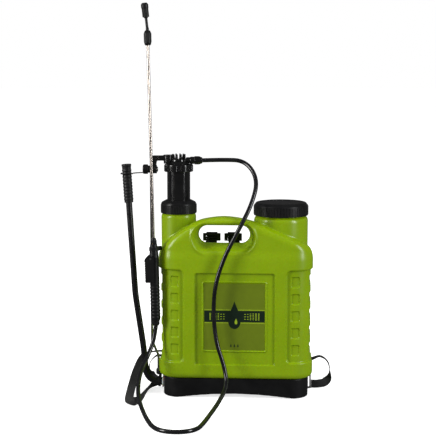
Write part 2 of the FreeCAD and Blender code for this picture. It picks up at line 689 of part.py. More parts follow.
def make_nozzle_neck():
    """Neck with a knee above the lance's nut; the bore turns with it."""
    knee = V(0, 0, NOZZLE_KNEE_Z)
    lower = turned(0, 0, [(0, 712, 0), (3.7, 712, 0.5), (3.7, NOZZLE_KNEE_Z, 0),
                          (0, NOZZLE_KNEE_Z, 0)])
    upper = turned(0, 0, [(0, 738, 0), (4.4, 738, 0.6), (3.4, 744, 1), (3.4, 766, 0),
                          (5.6, 768, 0.5), (5.6, 782, 0), (4.8, 784, 0), (0, 784, 0)])
    solid = lower.fuse([Part.makeSphere(3.9, knee), bent(upper)])
    bore = upright(0, 0, 711, NOZZLE_KNEE_Z, 1.6)
    return solid.cut([bore, Part.makeSphere(1.8, knee), bent(upright(0, 0, NOZZLE_KNEE_Z, 785, 1.6))])


def make_nozzle_cap():
    """Adjusting cap: it turns on the neck to open the cone of spray."""
    cap = turned(0, 0, [(5.75, 769, 0), (8.4, 769, 1), (8.4, 790, 1), (9.2, 792, 0.5),
                        (9.2, 800, 1), (6, 804.5, 1), (0.8, 804.5, 0), (0.8, 800, 0),
                        (5.75, 800, 0)])
    grooves = []
    for i in range(12):
        groove = upright(9.0, 0, 771.5, 788, 1.0)
        groove.rotate(V(0, 0, 0), V(0, 0, 1), 30 * i)
        grooves.append(groove)
    return bent(cap.cut(grooves))


def make_swirl_core():
    core = turned(0, 0, [(0, 785, 0), (5.2, 785, 0.5), (5.2, 794, 0.5), (2, 797, 0.5), (0, 797, 0)])
    slots = [box(-0.6, 0.6, 3.6, 6, 784, 795), box(-0.6, 0.6, -6, -3.6, 784, 795)]
    return bent(core.cut(slots))


def make_lance_clip():
    """Arm from the tank's shoulder with a ring round the handle's tapered neck."""
    foot = V(LANCE_FOOT)
    z0, z1 = 382.0, 392.0
    lean_x = math.tan(math.radians(LANCE_LEAN)) * (z0 + 5 - foot.z)
    x = foot.x + lean_x
    ring = upright(x, foot.y, z0, z1, 12.6)
    reach = V(-176, -46, 0)
    start = V(x, foot.y, 0)
    side = (reach - start).cross(V(0, 0, 1)).normalize() * 4.0
    corners = [start + side, reach + side, reach - side, start - side]
    arm = Part.Face(Part.makePolygon([p + V(0, 0, z0) for p in corners + corners[:1]]))
    arm = arm.extrude(V(0, 0, z1 - z0))
    bore = upright(x, foot.y, z0 - 5, z1 + 5, 10.9)
    tank_room = plan_block(TANK_HALF_W + BAND_PROUD, -TANK_HALF_D - BAND_PROUD,
                           TANK_HALF_D + BAND_PROUD, TANK_CORNER + BAND_PROUD, z0 - 20, z1 + 20)
    mouth = box(x - 30, x - 6.5, foot.y - 5.5, foot.y + 5.5, z0 - 5, z1 + 5)
    return fused([ring, arm]).cut([bore, tank_room, mouth])


# ---- filler ------------------------------------------------------------------------------
def make_strainer():
    """Basket that hangs in the filler opening on its flange, with rows of windows."""
    basket = turned(FILLER_X, 0, [(0, 398, 0), (50, 398, 5), (55.5, 486.3, 0), (61, 486.3, 0),
                                  (61, 488.6, 0.8), (53.5, 488.6, 0.5), (48, 400, 4),
                                  (0, 400, 0)])
    windows = []
    for i in range(12):
        for z in (408.0, 434.0, 460.0):
            window = box(40, 62, -8, 8, z, z + 18)
            window.rotate(V(0, 0, 0), V(0, 0, 1), 30 * i)
            window.translate(V(FILLER_X, 0, 0))
            windows.append(window)
    holes = [upright(FILLER_X + 13 * i, 13 * j, 390, 410, 3.5)
             for i in range(-2, 3) for j in range(-2, 3)]
    return basket.cut(windows + holes)


def make_cap_gasket():
    """Sealing ring and inner lid that stay level while the cap turns."""
    return turned(FILLER_X, 0, [(0, 491, 0), (50, 491, 0), (50, 489, 0.5), (61.5, 489, 1),
                                (61.5, 493, 1), (0, 493, 0)])


def make_filler_cap():
    body = turned(FILLER_X, 0, [(65.6, 467, 0), (69.8, 467, 1), (69.8, 493, 3), (64, 500.5, 6),
                                (0, 500.5, 0), (0, 493.4, 0), (65.6, 493.4, 0)])
    ribs = fluted(FILLER_X, 0, 469.5, 491, 68.5, 70.8, 60).cut(upright(FILLER_X, 0, 460, 500, 65.6))
    dish = turned(FILLER_X, 0, [(0, 499.3, 0), (56, 499.3, 0), (57.5, 501, 0), (0, 501, 0)])
    vent = upright(FILLER_X, 0, 490, 503, 1.5)
    return body.fuse(ribs).cut([dish, vent])


# ---- straps ------------------------------------------------------------------------------
PAD_W = 52.0
PAD_T = 11.0
STRAPS = {"left": (-70.0, 9.0), "right": (-13.0, -9.0)}   # top anchor's x, degrees of splay
STRAP_Y = 97.0                                         # webbing's plane behind the tank
CLIP_BAR_Z = 403.0


def splayed(shape, side):
    x, turn = STRAPS[side]
    shape.rotate(V(0, 0, 400), V(0, 1, 0), turn)
    shape.translate(V(x, 0, 0))
    return shape


def make_pad(side):
    """Padded shoulder strap, bowed away from the tank's back."""
    inner = [(STRAP_Y - 1, 366, 0), (STRAP_Y + 42, 300, 60), (STRAP_Y + 42, 232, 60),
             (STRAP_Y - 1, 160, 0)]
    outer = [(STRAP_Y + PAD_T, 152, 3), (STRAP_Y + 42 + PAD_T, 230, 60),
             (STRAP_Y + 42 + PAD_T, 302, 60), (STRAP_Y + PAD_T, 374, 3)]
    return splayed(prism(inner + outer, on_yz(-PAD_W / 2), V(PAD_W, 0, 0)), side)


def make_top_clip(side):
    """Ladder clip on the tank's rear edge, with the webbing's slots."""
    x = STRAPS[side][0]
    plate = box(x - 23.5, x + 23.5, 89.2, 93.2, 385, 405)
    slots = [box(x - 15, x + 15, 80, 100, z, z + 3.6) for z in (388.0, 395.5)]
    bar = rod(V(x - 21, 95, CLIP_BAR_Z), V(x + 21, 95, CLIP_BAR_Z), 2.2)
    return fused([plate.cut(slots), bar])


def make_top_web(side):
    """Webbing from the clip to the pad's top."""
    top = CLIP_BAR_Z - 2.6
    band = prism([(93.6, top, 0), (95.6, top, 0), (STRAP_Y + 6, 374, 0), (STRAP_Y + 4, 372.6, 0)],
                 on_yz(-WEB_W / 2 - 3), V(WEB_W + 6, 0, 0))
    band.translate(V(STRAPS[side][0], 0, 0))
    return band


def make_pad_buckle(side):
    """Ladder-lock buckle sewn to the pad's lower end."""
    y = STRAP_Y + 3
    frame = prism([(-17, 118, 2), (17, 118, 2), (17, 150, 2), (-17, 150, 2)], on_xz(y),
                  V(0, 5, 0))
    slots = [box(-13, 13, y - 2, y + 8, z, z + 4) for z in (123.0, 132.0, 141.0)]
    return splayed(frame.cut(slots), side)


# Webbing from the buckles to the base's hooks: (centre), (direction of its width).
TAILS = {
    "right": [[
        ((31, 103, 117.5), (1, 0, 0)), ((44, 105, 100), (0.93, 0, 0.35)),
        ((84, 106, 66), (0.5, 0, 0.87)), ((150, 104, 52), (0, 0.2, 1)),
        ((195, 90, 66), (-0.1, 0.95, 0.2)), ((221, 80, 76), (0, 1, 0)), ((241, 70, 64), (0, 1, 0)),
        ((246, 60, 39), (0, 0.9, 0.4)), ((236, 46, 17), (0, 0.45, 0.9)),
        ((216, 36, 13), (0, 0, 1)), ((196.5, 33.5, 13), (0, 0, 1)),
    ]],
    "left": [[
        ((-114, 103, 117.5), (-1, 0, 0)), ((-119, 105, 100), (-0.93, 0, 0.35)),
        ((-138, 106, 68), (-0.5, 0, 0.87)), ((-168, 102, 60), (-0.1, 0.4, 0.9)),
        ((-196, 92, 68), (0.05, 0.97, 0.1)), ((-218, 84, 71), (0, 1, 0)),
        ((-234, 74, 57), (0, 1, 0)), ((-236, 62, 37), (0, 0.8, 0.5)),
        ((-224, 46, 21), (0, 0.4, 0.9)), ((-208, 37, 15), (0, 0, 1)),
        ((-196.5, 33.5, 14), (0, 0, 1)),
    ], [
        ((-197, 26.5, 21), (0, 0, 1)), ((-212, 21, 15), (0.2, 0, 1)),
        ((-224, 2, 11.8), (0.35, 0, 0.94)), ((-229, -45, 11.8), (0.35, 0, 0.94)),
        ((-233, -105, 12.2), (0.1, 0, 1)), ((-238, -150, 12.2), (0, 0, 1)),
        ((-246, -165, 12), (0.45, 0.1, 0.85)), ((-259, -160, 9), (0.9, 0.2, 0.35)),
        ((-267, -132, 7), (1, 0.1, 0.1)), ((-271, -80, 9), (1, 0, 0)),
        ((-271, -25, 22), (1, 0, 0)), ((-267, 25, 43), (0.98, 0.1, 0.1)),
        ((-256, 66, 66), (0.75, 0.6, 0.2)), ((-236, 92, 78), (0.25, 0.95, 0)),
        ((-205, 101, 81), (0, 1, 0)), ((-165, 104, 79), (0, 0.9, 0.4)),
    ]],
}
TAIL_STEPS = 4                  # sections between two stations


def between(values):
    """Catmull-Rom run through vectors."""
    ends = [values[0] * 2 - values[1]] + values + [values[-1] * 2 - values[-2]]
    made = []
    for a, b, c, d in zip(ends, ends[1:], ends[2:], ends[3:]):
        for i in range(TAIL_STEPS):
            t = i / TAIL_STEPS
            made.append((b * 2 + (c - a) * t + (a * 2 - b * 5 + c * 4 - d) * t ** 2
                         + (b * 3 - a - c * 3 + d) * t ** 3) * 0.5)
    return made + [values[-1]]


def webbing(stations):
    """Flat band lofted through sections that turn with the webbing."""
    centres = between([V(*centre) for centre, across in stations])
    widths = between([V(*across) for centre, across in stations])
    sections = []
    for i, (centre, across) in enumerate(zip(centres, widths)):
        along = (centres[min(i + 1, len(centres) - 1)] - centres[max(i - 1, 0)]).normalize()
        side = (across - along * across.dot(along)).normalize()
        out = side.cross(along) * (WEB_T / 2)
        half = side * (WEB_W / 2)
        corners = [centre + half + out, centre - half + out, centre - half - out,
                   centre + half - out]
        sections.append(Part.makePolygon(corners + corners[:1]))
    return Part.makeLoft(sections, True, True)


def make_strap_tail(side):
    """Webbing from the buckle to the base's hook; the left one has its slack beside it."""
    return fused([webbing(stations) for stations in TAILS[side]])


# ---- hose --------------------------------------------------------------------------------
def make_hose():
    points = [V(*p) for p in HOSE_ROUTE]
    radii = []
    for before, here, after in zip(points, points[1:], points[2:]):
        turn = math.pi - (before - here).getAngle(after - here)
        shorter = min((before - here).Length, (after - here).Length)
        radii.append(0.45 * shorter / math.tan(turn / 2))
    path = smooth_path(points, radii)
    tube = swept(path, HOSE_R)
    expected = math.pi * HOSE_R ** 2 * path.Length
    print("hose length", round(path.Length, 1), "radii", [round(r) for r in radii])
    print("hose volume / section x length", round(tube.Volume / expected, 4))
    return tube


def make_all():
    keep("tank", make_tank())
    keep("label_panel", make_label())
    keep("base_skirt", make_base())
    keep("base_screws", make_screws())
    keep("shaft_bushes", Part.makeCompound([make_bush(-189.0, -2.0), make_bush(-68.0, 7.0)]))
    keep("strap_hook_left", make_strap_hook(-1))
    keep("strap_hook_right", make_strap_hook(1))
    keep("pump_barrel", make_barrel())
    keep("neck_gasket", make_neck_gasket())
    keep("collar_nut", make_collar_nut())
    keep("inlet_seat", make_inlet_seat())
    keep("inlet_ball", make_inlet_ball())
    keep("intake_strainer", make_intake_strainer())
    keep("air_chamber", make_chamber())
    keep("piston_cup", make_piston())
    keep("delivery_ball", make_delivery_ball())
    keep("chamber_cap", make_chamber_cap())
    keep("crown_nut", make_crown())
    keep("outlet_spigot", make_outlet())
    keep("outlet_hose_nut", hose_nut(-109.0))
    keep("pump_arm", make_pump_arm())
    keep("arm_pin", make_arm_pin())
    keep("knob_nut", make_knob())
    keep("wire_hook", make_wire_hook())
    keep("connecting_rod", make_connecting_rod())
    keep("lever_tube", make_lever_tube())
    keep("lever_grip", make_lever_grip())
    keep("crank_arm", make_crank_arm())
    keep("crank_pin", make_crank_pin())
    keep("shaft_clip", make_shaft_clip())
    handle = handle_form()
    keep("handle_shell_front", lean(half_of(handle, -1)))
    keep("handle_shell_back", lean(half_of(handle, 1)))
    keep("valve_body", lean(make_valve_body()))
    keep("inline_filter", lean(make_inline_filter()))
    keep("trigger_lever", lean(make_trigger()))
    keep("trigger_pin", lean(make_trigger_pin()))
    keep("valve_stem", lean(make_valve_stem()))
    keep("trigger_spring", lean(make_trigger_spring()))
    keep("handle_hose_nut", lean(make_handle_nut()))
    keep("lance_nut", lean(make_lance_nut()))
    keep("lance_tube", lean(make_lance_tube()))
    keep("tip_nut", lean(make_tip_nut()))
    keep("nozzle_neck", lean(make_nozzle_neck()))
    keep("nozzle_cap", lean(make_nozzle_cap()))
    keep("swirl_core", lean(make_swirl_core()))
    keep("lance_clip", make_lance_clip())
    keep("strainer_basket", make_strainer())
    keep("cap_gasket", make_cap_gasket())
    keep("filler_cap", make_filler_cap())
    for side in STRAPS:
        keep("top_clip_" + side, make_top_clip(side))
        keep("top_web_" + side, make_top_web(side))
        keep("shoulder_pad_" + side, make_pad(side))
        keep("pad_buckle_" + side, make_pad_buckle(side))
    keep("strap_tail_left", make_strap_tail("left"))
    keep("strap_tail_right", make_strap_tail("right"))
    keep("hose", make_hose())


os.makedirs("parts", exist_ok=True)
make_all()
for name, shape in pieces.items():
    if not shape.isValid() or shape.Volume <= 0:
        print("check", name, shape.isValid(), shape.Volume)
    shape.exportStep("parts/" + name + ".step")
print(len(pieces), "nodes")
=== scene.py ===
import json
import math
from collections import namedtuple

import bmesh
import bpy
import numpy as np
import openvdb
from mathutils import Matrix, Vector


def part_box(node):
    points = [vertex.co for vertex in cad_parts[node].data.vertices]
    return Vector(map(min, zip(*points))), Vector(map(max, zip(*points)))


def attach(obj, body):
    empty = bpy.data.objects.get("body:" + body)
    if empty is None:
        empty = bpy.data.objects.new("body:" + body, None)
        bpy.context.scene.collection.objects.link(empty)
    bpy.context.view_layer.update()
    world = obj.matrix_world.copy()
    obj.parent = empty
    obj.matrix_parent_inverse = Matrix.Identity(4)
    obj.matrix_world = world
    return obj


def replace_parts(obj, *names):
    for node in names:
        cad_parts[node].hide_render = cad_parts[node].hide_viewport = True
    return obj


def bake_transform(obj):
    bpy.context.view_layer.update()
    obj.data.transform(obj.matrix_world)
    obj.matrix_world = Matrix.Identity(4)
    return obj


# Knapsack sprayer. Lengths are metres unless a name ends in _mm; fields work in millimetres.
# The label face looks along -Y, the wearer stands on the +Y side, and the floor is z = 0.

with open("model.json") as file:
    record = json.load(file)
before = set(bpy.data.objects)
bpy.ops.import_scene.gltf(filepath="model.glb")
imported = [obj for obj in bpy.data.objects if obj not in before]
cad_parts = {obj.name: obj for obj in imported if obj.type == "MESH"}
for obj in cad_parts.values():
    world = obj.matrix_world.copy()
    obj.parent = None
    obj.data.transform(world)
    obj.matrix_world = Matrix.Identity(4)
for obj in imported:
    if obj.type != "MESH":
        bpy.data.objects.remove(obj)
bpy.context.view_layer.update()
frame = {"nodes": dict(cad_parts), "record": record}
MM = 0.001


def box_mm(node):
    low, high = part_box(node)
    return np.array(low) / MM, np.array(high) / MM


def finished(shape, name):
    """Mesh from a bmesh, which is freed."""
    mesh = bpy.data.meshes.new(name)
    shape.to_mesh(mesh)
    shape.free()
    return mesh


# ---- camera and studio ---------------------------------------------------------------------
CAMERA_PLACE = (0.153, -3.385, 0.8815)
CAMERA_HEADING = math.atan2(0.196, 3.3)
CAMERA_DIP_DEG = 7.13
CAMERA_LENS_MM = 108.83
SENSOR_WIDTH_MM = 36.0
WORLD_SEEN, WORLD_LIGHT, WORLD_MIRRORED = 1.0, 0.36, 0.07
FLOOR_RADIUS = 30.0
FLOOR_GLOW = 0.72
NEUTRAL, WARM, COOL = (1.0, 1.0, 1.0), (1.0, 0.99, 0.97), (0.98, 0.99, 1.0)


def make_camera():
    data = bpy.data.cameras.new("camera")
    data.lens = CAMERA_LENS_MM
    data.sensor_width = SENSOR_WIDTH_MM
    camera = bpy.data.objects.new("camera", data)
    camera.location = CAMERA_PLACE
    camera.rotation_euler = (math.radians(90.0 - CAMERA_DIP_DEG), 0.0, CAMERA_HEADING)
    bpy.context.scene.collection.objects.link(camera)
    bpy.context.scene.camera = camera


def make_softbox(name, place, aim, width, height, power, colour, mirrored=True):
    data = bpy.data.lights.new(name, "AREA")
    data.shape = "RECTANGLE"
    data.size = width
    data.size_y = height
    data.energy = power
    data.color = colour
    light = bpy.data.objects.new(name, data)
    light.visible_glossy = mirrored
    light.location = place
    direction = Vector(aim) - Vector(place)
    light.rotation_euler = direction.to_track_quat("-Z", "Y").to_euler()
    bpy.context.scene.collection.objects.link(light)


def make_world():
    """White to look at, dim in reflections, so that glossy black keeps its depth."""
    bpy.context.scene.view_settings.view_transform = "Standard"
    world = bpy.data.worlds.new("studio")
    bpy.context.scene.world = world
    world.use_nodes = True
    tree = world.node_tree
    background = tree.nodes["Background"]
    seen = tree.nodes.new("ShaderNodeLightPath")
    mirrored = tree.nodes.new("ShaderNodeMapRange")
    mirrored.inputs["To Min"].default_value = WORLD_LIGHT
    mirrored.inputs["To Max"].default_value = WORLD_MIRRORED
    tree.links.new(seen.outputs["Is Glossy Ray"], mirrored.inputs["Value"])
    amount = tree.nodes.new("ShaderNodeMapRange")
    amount.inputs["To Max"].default_value = WORLD_SEEN
    tree.links.new(seen.outputs["Is Camera Ray"], amount.inputs["Value"])
    tree.links.new(mirrored.outputs["Result"], amount.inputs["To Min"])
    tree.links.new(amount.outputs["Result"], background.inputs["Strength"])
    background.inputs["Color"].default_value = (*NEUTRAL, 1.0)


def make_floor():
    """Pale floor with a glow of its own, so that it meets the white world without a horizon.

    It takes the object's shadows, and the object neither mirrors it nor is lit by it.
    """
    shape = bmesh.new()
    bmesh.ops.create_circle(shape, cap_ends=True, segments=64, radius=FLOOR_RADIUS)
    mesh = finished(shape, "floor")
    floor = bpy.data.objects.new("floor", mesh)
    bpy.context.scene.collection.objects.link(floor)
    floor.visible_diffuse = False
    floor.visible_glossy = False
    floor.visible_transmission = False
    floor.visible_shadow = False
    paint = Paint("floor", (0.86, 0.86, 0.86), 0.9)
    paint.set(Specular_IOR_Level=0.0, Emission_Color=(*NEUTRAL, 1.0), Emission_Strength=FLOOR_GLOW)
    mesh.materials.append(paint.material)


def make_studio():
    make_camera()
    make_world()
    make_floor()
    make_softbox("key", (-2.6, -1.35, 1.3), (0, 0, 0.35), 0.8, 1.9, 76, WARM)
    make_softbox("fill", (2.6, -1.45, 1.2), (0, 0, 0.35), 0.6, 1.8, 62, COOL)
    make_softbox("top", (0.1, -0.6, 2.8), (0, 0, 0.3), 2.0, 1.6, 26, NEUTRAL, mirrored=False)
    make_softbox("back", (0.6, 2.6, 1.6), (0, 0, 0.4), 1.6, 1.4, 26, NEUTRAL, mirrored=False)


# ---- materials -----------------------------------------------------------------------------
class Paint:
    """One node material; heights that are added to it end up in its bump."""

    def __init__(self, name, colour, roughness, metallic=0.0):
        self.material = bpy.data.materials.new(name)
        self.material.use_nodes = True
        self.tree = self.material.node_tree
        self.shader = self.tree.nodes["Principled BSDF"]
        self.shader.inputs["Base Color"].default_value = (*colour, 1.0)
        self.shader.inputs["Roughness"].default_value = roughness
        self.shader.inputs["Metallic"].default_value = metallic
        self.roughness = roughness
        self.normal = None
        self.place = self.node("ShaderNodeTexCoord").outputs["Object"]

    def node(self, kind, **settings):
        made = self.tree.nodes.new(kind)
        for key, value in settings.items():
            setattr(made, key, value)
        return made

    def link(self, output, target):
        self.tree.links.new(output, target)

    def stretched(self, scale):
        """Object coordinates multiplied by one number for each axis."""
        mapping = self.node("ShaderNodeMapping")
        mapping.inputs["Scale"].default_value = scale
        self.link(self.place, mapping.inputs["Vector"])
        return mapping.outputs["Vector"]

    def noise(self, scale, detail=2.0, stretch=None):
        made = self.node("ShaderNodeTexNoise")
        made.inputs["Scale"].default_value = scale
        made.inputs["Detail"].default_value = detail
        self.link(self.stretched(stretch) if stretch else self.place, made.inputs["Vector"])
        return made.outputs["Fac"]

    def cells(self, scale, feature="F1", stretch=None):
        made = self.node("ShaderNodeTexVoronoi", feature=feature)
        made.inputs["Scale"].default_value = scale
        self.link(self.stretched(stretch) if stretch else self.place, made.inputs["Vector"])
        return made.outputs["Distance"]

    def spread(self, value, low, high, to_low, to_high):
        made = self.node("ShaderNodeMapRange")
        for name, number in (("From Min", low), ("From Max", high), ("To Min", to_low),
                             ("To Max", to_high)):
            made.inputs[name].default_value = number
        self.link(value, made.inputs["Value"])
        return made.outputs["Result"]

    def math(self, operation, first, second=0.0):
        made = self.node("ShaderNodeMath", operation=operation)
        for socket, value in zip(made.inputs, (first, second)):
            if isinstance(value, (int, float)):
                socket.default_value = value
            else:
                self.link(value, socket)
        return made.outputs["Value"]

    def colours(self, value, *stops):
        """Colour from a value; each stop is (position, colour)."""
        ramp = self.node("ShaderNodeValToRGB")
        points = ramp.color_ramp.elements
        while len(points) < len(stops):
            points.new(0.5)
        for point, (position, colour) in zip(points, stops):
            point.position = position
            point.color = (*colour, 1.0)
        self.link(value, ramp.inputs["Fac"])
        return ramp.outputs["Color"]

    def blend(self, share, first, second):
        made = self.node("ShaderNodeMix", data_type="RGBA")
        self.link(share, made.inputs["Factor"])
        for socket, value in ((made.inputs["A"], first), (made.inputs["B"], second)):
            if isinstance(value, tuple):
                socket.default_value = (*value, 1.0)
            else:
                self.link(value, socket)
        return made.outputs["Result"]

    def base(self, colour):
        self.link(colour, self.shader.inputs["Base Color"])

    def rough(self, value, change):
        """Roughness that varies about the material's own value."""
        self.link(self.spread(value, 0.3, 0.7, self.roughness - change, self.roughness + change),
                  self.shader.inputs["Roughness"])

    def bump(self, height, strength, depth):
        made = self.node("ShaderNodeBump")
        made.inputs["Strength"].default_value = strength
        made.inputs["Distance"].default_value = depth
        self.link(height, made.inputs["Height"])
        if self.normal is not None:
            self.link(self.normal, made.inputs["Normal"])
        self.normal = made.outputs["Normal"]
        self.link(self.normal, self.shader.inputs["Normal"])

    def soft_edges(self, radius):
        """Rounded look on the sharp edges of a machined or moulded piece; returns edge wear."""
        bevel = self.node("ShaderNodeBevel", samples=4)
        bevel.inputs["Radius"].default_value = radius
        self.normal = bevel.outputs["Normal"]
        self.link(self.normal, self.shader.inputs["Normal"])
        facing = self.node("ShaderNodeVectorMath", operation="DOT_PRODUCT")
        self.link(bevel.outputs["Normal"], facing.inputs[0])
        self.link(self.node("ShaderNodeNewGeometry").outputs["Normal"], facing.inputs[1])
        return self.spread(facing.outputs["Value"], 0.98, 0.8, 0.0, 1.0)

    def set(self, **values):
        for key, value in values.items():
            self.shader.inputs[key.replace("_", " ")].default_value = value


def green_plastic():
    """Blow-moulded polyethylene: waxy, with a faint orange peel and a slow waviness."""
    paint = Paint("tank_green", (0.21, 0.335, 0.0), 0.28)
    clouds = paint.noise(9.0, 3.0)
    tone = paint.colours(clouds, (0.3, (0.20, 0.32, 0.0)), (0.7, (0.225, 0.35, 0.001)))
    specks = paint.noise(950.0, 1.0)
    dust = paint.spread(paint.noise(34.0, 5.0), 0.56, 0.8, 0.0, 0.08)
    paint.base(paint.blend(dust, tone, (0.31, 0.42, 0.04)))
    paint.rough(paint.noise(45.0, 4.0), 0.05)
    paint.bump(paint.noise(14.0, 1.0), 0.10, 0.004)
    paint.bump(specks, 0.10, 0.0003)
    paint.set(Specular_IOR_Level=0.4, Subsurface_Weight=0.06, Subsurface_Scale=0.004)
    return paint.material


def black_plastic(name, tone, roughness, grain, coat=0.0, edge=0.0006):
    """Moulded black plastic with a fine grain, handling marks and paler worn edges."""
    colour = (tone, tone, tone * 1.06)
    paint = Paint(name, colour, roughness)
    wear = paint.soft_edges(edge)
    smear = paint.noise(26.0, 5.0)
    tones = paint.colours(smear, (0.35, colour), (0.75, (tone * 1.8, tone * 1.8, tone * 1.85)))
    paint.base(paint.blend(paint.math("MULTIPLY", wear, 0.3), tones, (0.06, 0.06, 0.062)))
    paint.rough(paint.noise(60.0, 4.0), 0.06)
    paint.bump(paint.noise(1500.0, 1.0), grain, 0.0002)
    paint.set(Coat_Weight=coat, Coat_Roughness=0.08, Specular_IOR_Level=0.2)
    return paint.material


def rubber(name, roughness, sheen):
    paint = Paint(name, (0.008, 0.008, 0.009), roughness)
    paint.soft_edges(0.0005)
    dust = paint.spread(paint.noise(70.0, 5.0), 0.5, 0.8, 0.0, 0.12)
    paint.base(paint.blend(dust, (0.007, 0.007, 0.008), (0.06, 0.058, 0.055)))
    paint.rough(paint.noise(130.0, 3.0), 0.07)
    paint.bump(paint.noise(2200.0, 1.0), 0.25, 0.0002)
    paint.set(Sheen_Weight=sheen, Sheen_Roughness=0.5, Specular_IOR_Level=0.35)
    return paint.material


def hose_pvc():
    """Extruded hose: glossy, with a faint fine grain and dull rubbed patches."""
    paint = Paint("hose_rubber", (0.006, 0.006, 0.007), 0.2)
    rubbed = paint.noise(22.0, 6.0)
    paint.base(paint.colours(rubbed, (0.35, (0.005, 0.005, 0.006)), (0.8, (0.014, 0.014, 0.015))))
    paint.rough(rubbed, 0.06)
    paint.bump(paint.noise(900.0, 1.0), 0.05, 0.0001)
    paint.set(Coat_Weight=0.2, Coat_Roughness=0.1, Specular_IOR_Level=0.4)
    return paint.material


def metal(name, colour, roughness, brushing, tarnish, edge=0.0004):
    """Metal with brushing along the height, spots of tarnish and bright edges."""
    paint = Paint(name, colour, roughness, 1.0)
    wear = paint.soft_edges(edge)
    spots = paint.spread(paint.noise(85.0, 6.0), 0.52, 0.75, 0.0, tarnish)
    dull = tuple(0.45 * part for part in colour)
    bright = tuple(min(1.0, 1.25 * part) for part in colour)
    paint.base(paint.blend(wear, paint.blend(spots, colour, dull), bright))
    lines = paint.noise(1.0, 3.0, stretch=(2600.0, 2600.0, 18.0))
    paint.rough(lines, 0.04)
    paint.bump(lines, brushing, 0.0001)
    return paint.material


def painted_steel():
    """Black powder coat with an orange peel, rubbed to dark grey on its edges."""
    paint = Paint("lever_steel", (0.008, 0.008, 0.009), 0.3)
    wear = paint.soft_edges(0.0006)
    rubbed = paint.spread(paint.noise(40.0, 6.0), 0.58, 0.72, 0.0, 0.5)
    coat = paint.blend(rubbed, (0.006, 0.006, 0.007), (0.018, 0.018, 0.017))
    paint.base(paint.blend(paint.math("MULTIPLY", wear, 0.3), coat, (0.10, 0.098, 0.095)))
    paint.rough(paint.noise(55.0, 4.0), 0.08)
    paint.bump(paint.noise(520.0, 2.0), 0.12, 0.0003)
    paint.set(Specular_IOR_Level=0.4)
    return paint.material


def milky_plastic():
    """Undyed polypropylene for the strainer and the valve seats."""
    paint = Paint("natural_plastic", (0.78, 0.77, 0.70), 0.38)
    paint.soft_edges(0.0006)
    paint.base(paint.colours(paint.noise(30.0, 4.0), (0.3, (0.74, 0.73, 0.65)),
                             (0.7, (0.82, 0.81, 0.75))))
    paint.rough(paint.noise(80.0, 3.0), 0.06)
    paint.bump(paint.noise(900.0, 1.0), 0.15, 0.0003)
    paint.set(Subsurface_Weight=0.2, Subsurface_Scale=0.003)
    return paint.material


def glass_ball():
    paint = Paint("valve_glass", (0.55, 0.75, 0.66), 0.06)
    paint.base(paint.colours(paint.noise(180.0, 2.0), (0.3, (0.52, 0.74, 0.64)),
                             (0.7, (0.6, 0.8, 0.72))))
    paint.bump(paint.noise(300.0, 2.0), 0.05, 0.0002)
    paint.set(Transmission_Weight=0.6, IOR=1.5)
    return paint.material


def woven(name, tone, warp_mm, weft_mm):
    """Flat woven webbing; the weave follows the strip's own length and width."""
    paint = Paint(name, (tone, tone, tone), 0.72)
    lay = paint.node("ShaderNodeUVMap", uv_map="weave").outputs["UV"]
    axes = paint.node("ShaderNodeSeparateXYZ")
    paint.link(lay, axes.inputs["Vector"])
    along = paint.math("MULTIPLY", axes.outputs["X"], 2.0 * math.pi / (weft_mm * MM))
    across = paint.math("MULTIPLY", axes.outputs["Y"], 2.0 * math.pi / (warp_mm * MM))
    slant = paint.math("ADD", along, paint.math("MULTIPLY", across, 0.5))
    ribs = paint.math("ABSOLUTE", paint.math("SINE", paint.math("MULTIPLY", across, 0.5)))
    picks = paint.math("ADD", paint.math("MULTIPLY", paint.math("SINE", slant), 0.5), 0.5)
    weave = paint.math("MULTIPLY", ribs, paint.spread(picks, 0.0, 1.0, 0.45, 1.0))
    fuzz = paint.noise(1400.0, 3.0)
    # The thread colour follows the weave's height: painted shade in the low places between the picks and
    # painted highlight on the raised ones.
    thread = paint.colours(weave, (0.1, (tone * 0.45, tone * 0.45, tone * 0.47)),
                           (0.9, (tone * 1.7, tone * 1.7, tone * 1.75)))
    faded = paint.spread(paint.noise(35.0, 4.0), 0.5, 0.75, 0.0, 0.25)
    paint.base(paint.blend(faded, thread, (tone * 2.4, tone * 2.35, tone * 2.3)))
    paint.rough(fuzz, 0.08)
    paint.bump(weave, 0.55, 0.0005)
    paint.bump(fuzz, 0.15, 0.0002)
    paint.set(Sheen_Weight=0.08, Sheen_Roughness=0.45, Specular_IOR_Level=0.3)
    return paint.material


def pad_mesh():
    """Spacer-mesh fabric over foam: small open cells, with painted shade in their sunken middles."""
    paint = Paint("pad_fabric", (0.02, 0.02, 0.021), 0.8)
    cells = paint.cells(430.0)
    fuzz = paint.noise(1300.0, 3.0)
    # The cells' colour follows their bump: painted shade in the sunken middles, lighter on the raised
    # borders.
    tone = paint.colours(cells, (0.15, (0.006, 0.006, 0.0065)), (0.5, (0.034, 0.034, 0.036)))
    faded = paint.spread(paint.noise(28.0, 4.0), 0.5, 0.8, 0.0, 0.3)
    paint.base(paint.blend(faded, tone, (0.055, 0.054, 0.053)))
    paint.rough(fuzz, 0.06)
    paint.bump(cells, 0.6, 0.0008)
    paint.bump(fuzz, 0.2, 0.0002)
    paint.set(Sheen_Weight=0.12, Sheen_Roughness=0.5, Specular_IOR_Level=0.3)
    return paint.material


def thread():
    paint = Paint("thread", (0.05, 0.05, 0.052), 0.65)
    paint.base(paint.colours(paint.noise(900.0, 2.0), (0.3, (0.035, 0.035, 0.037)),
                             (0.7, (0.075, 0.075, 0.078))))
    paint.bump(paint.noise(3000.0, 1.0, stretch=(1.0, 1.0, 0.3)), 0.4, 0.0002)
    paint.set(Sheen_Weight=0.3)
    return paint.material


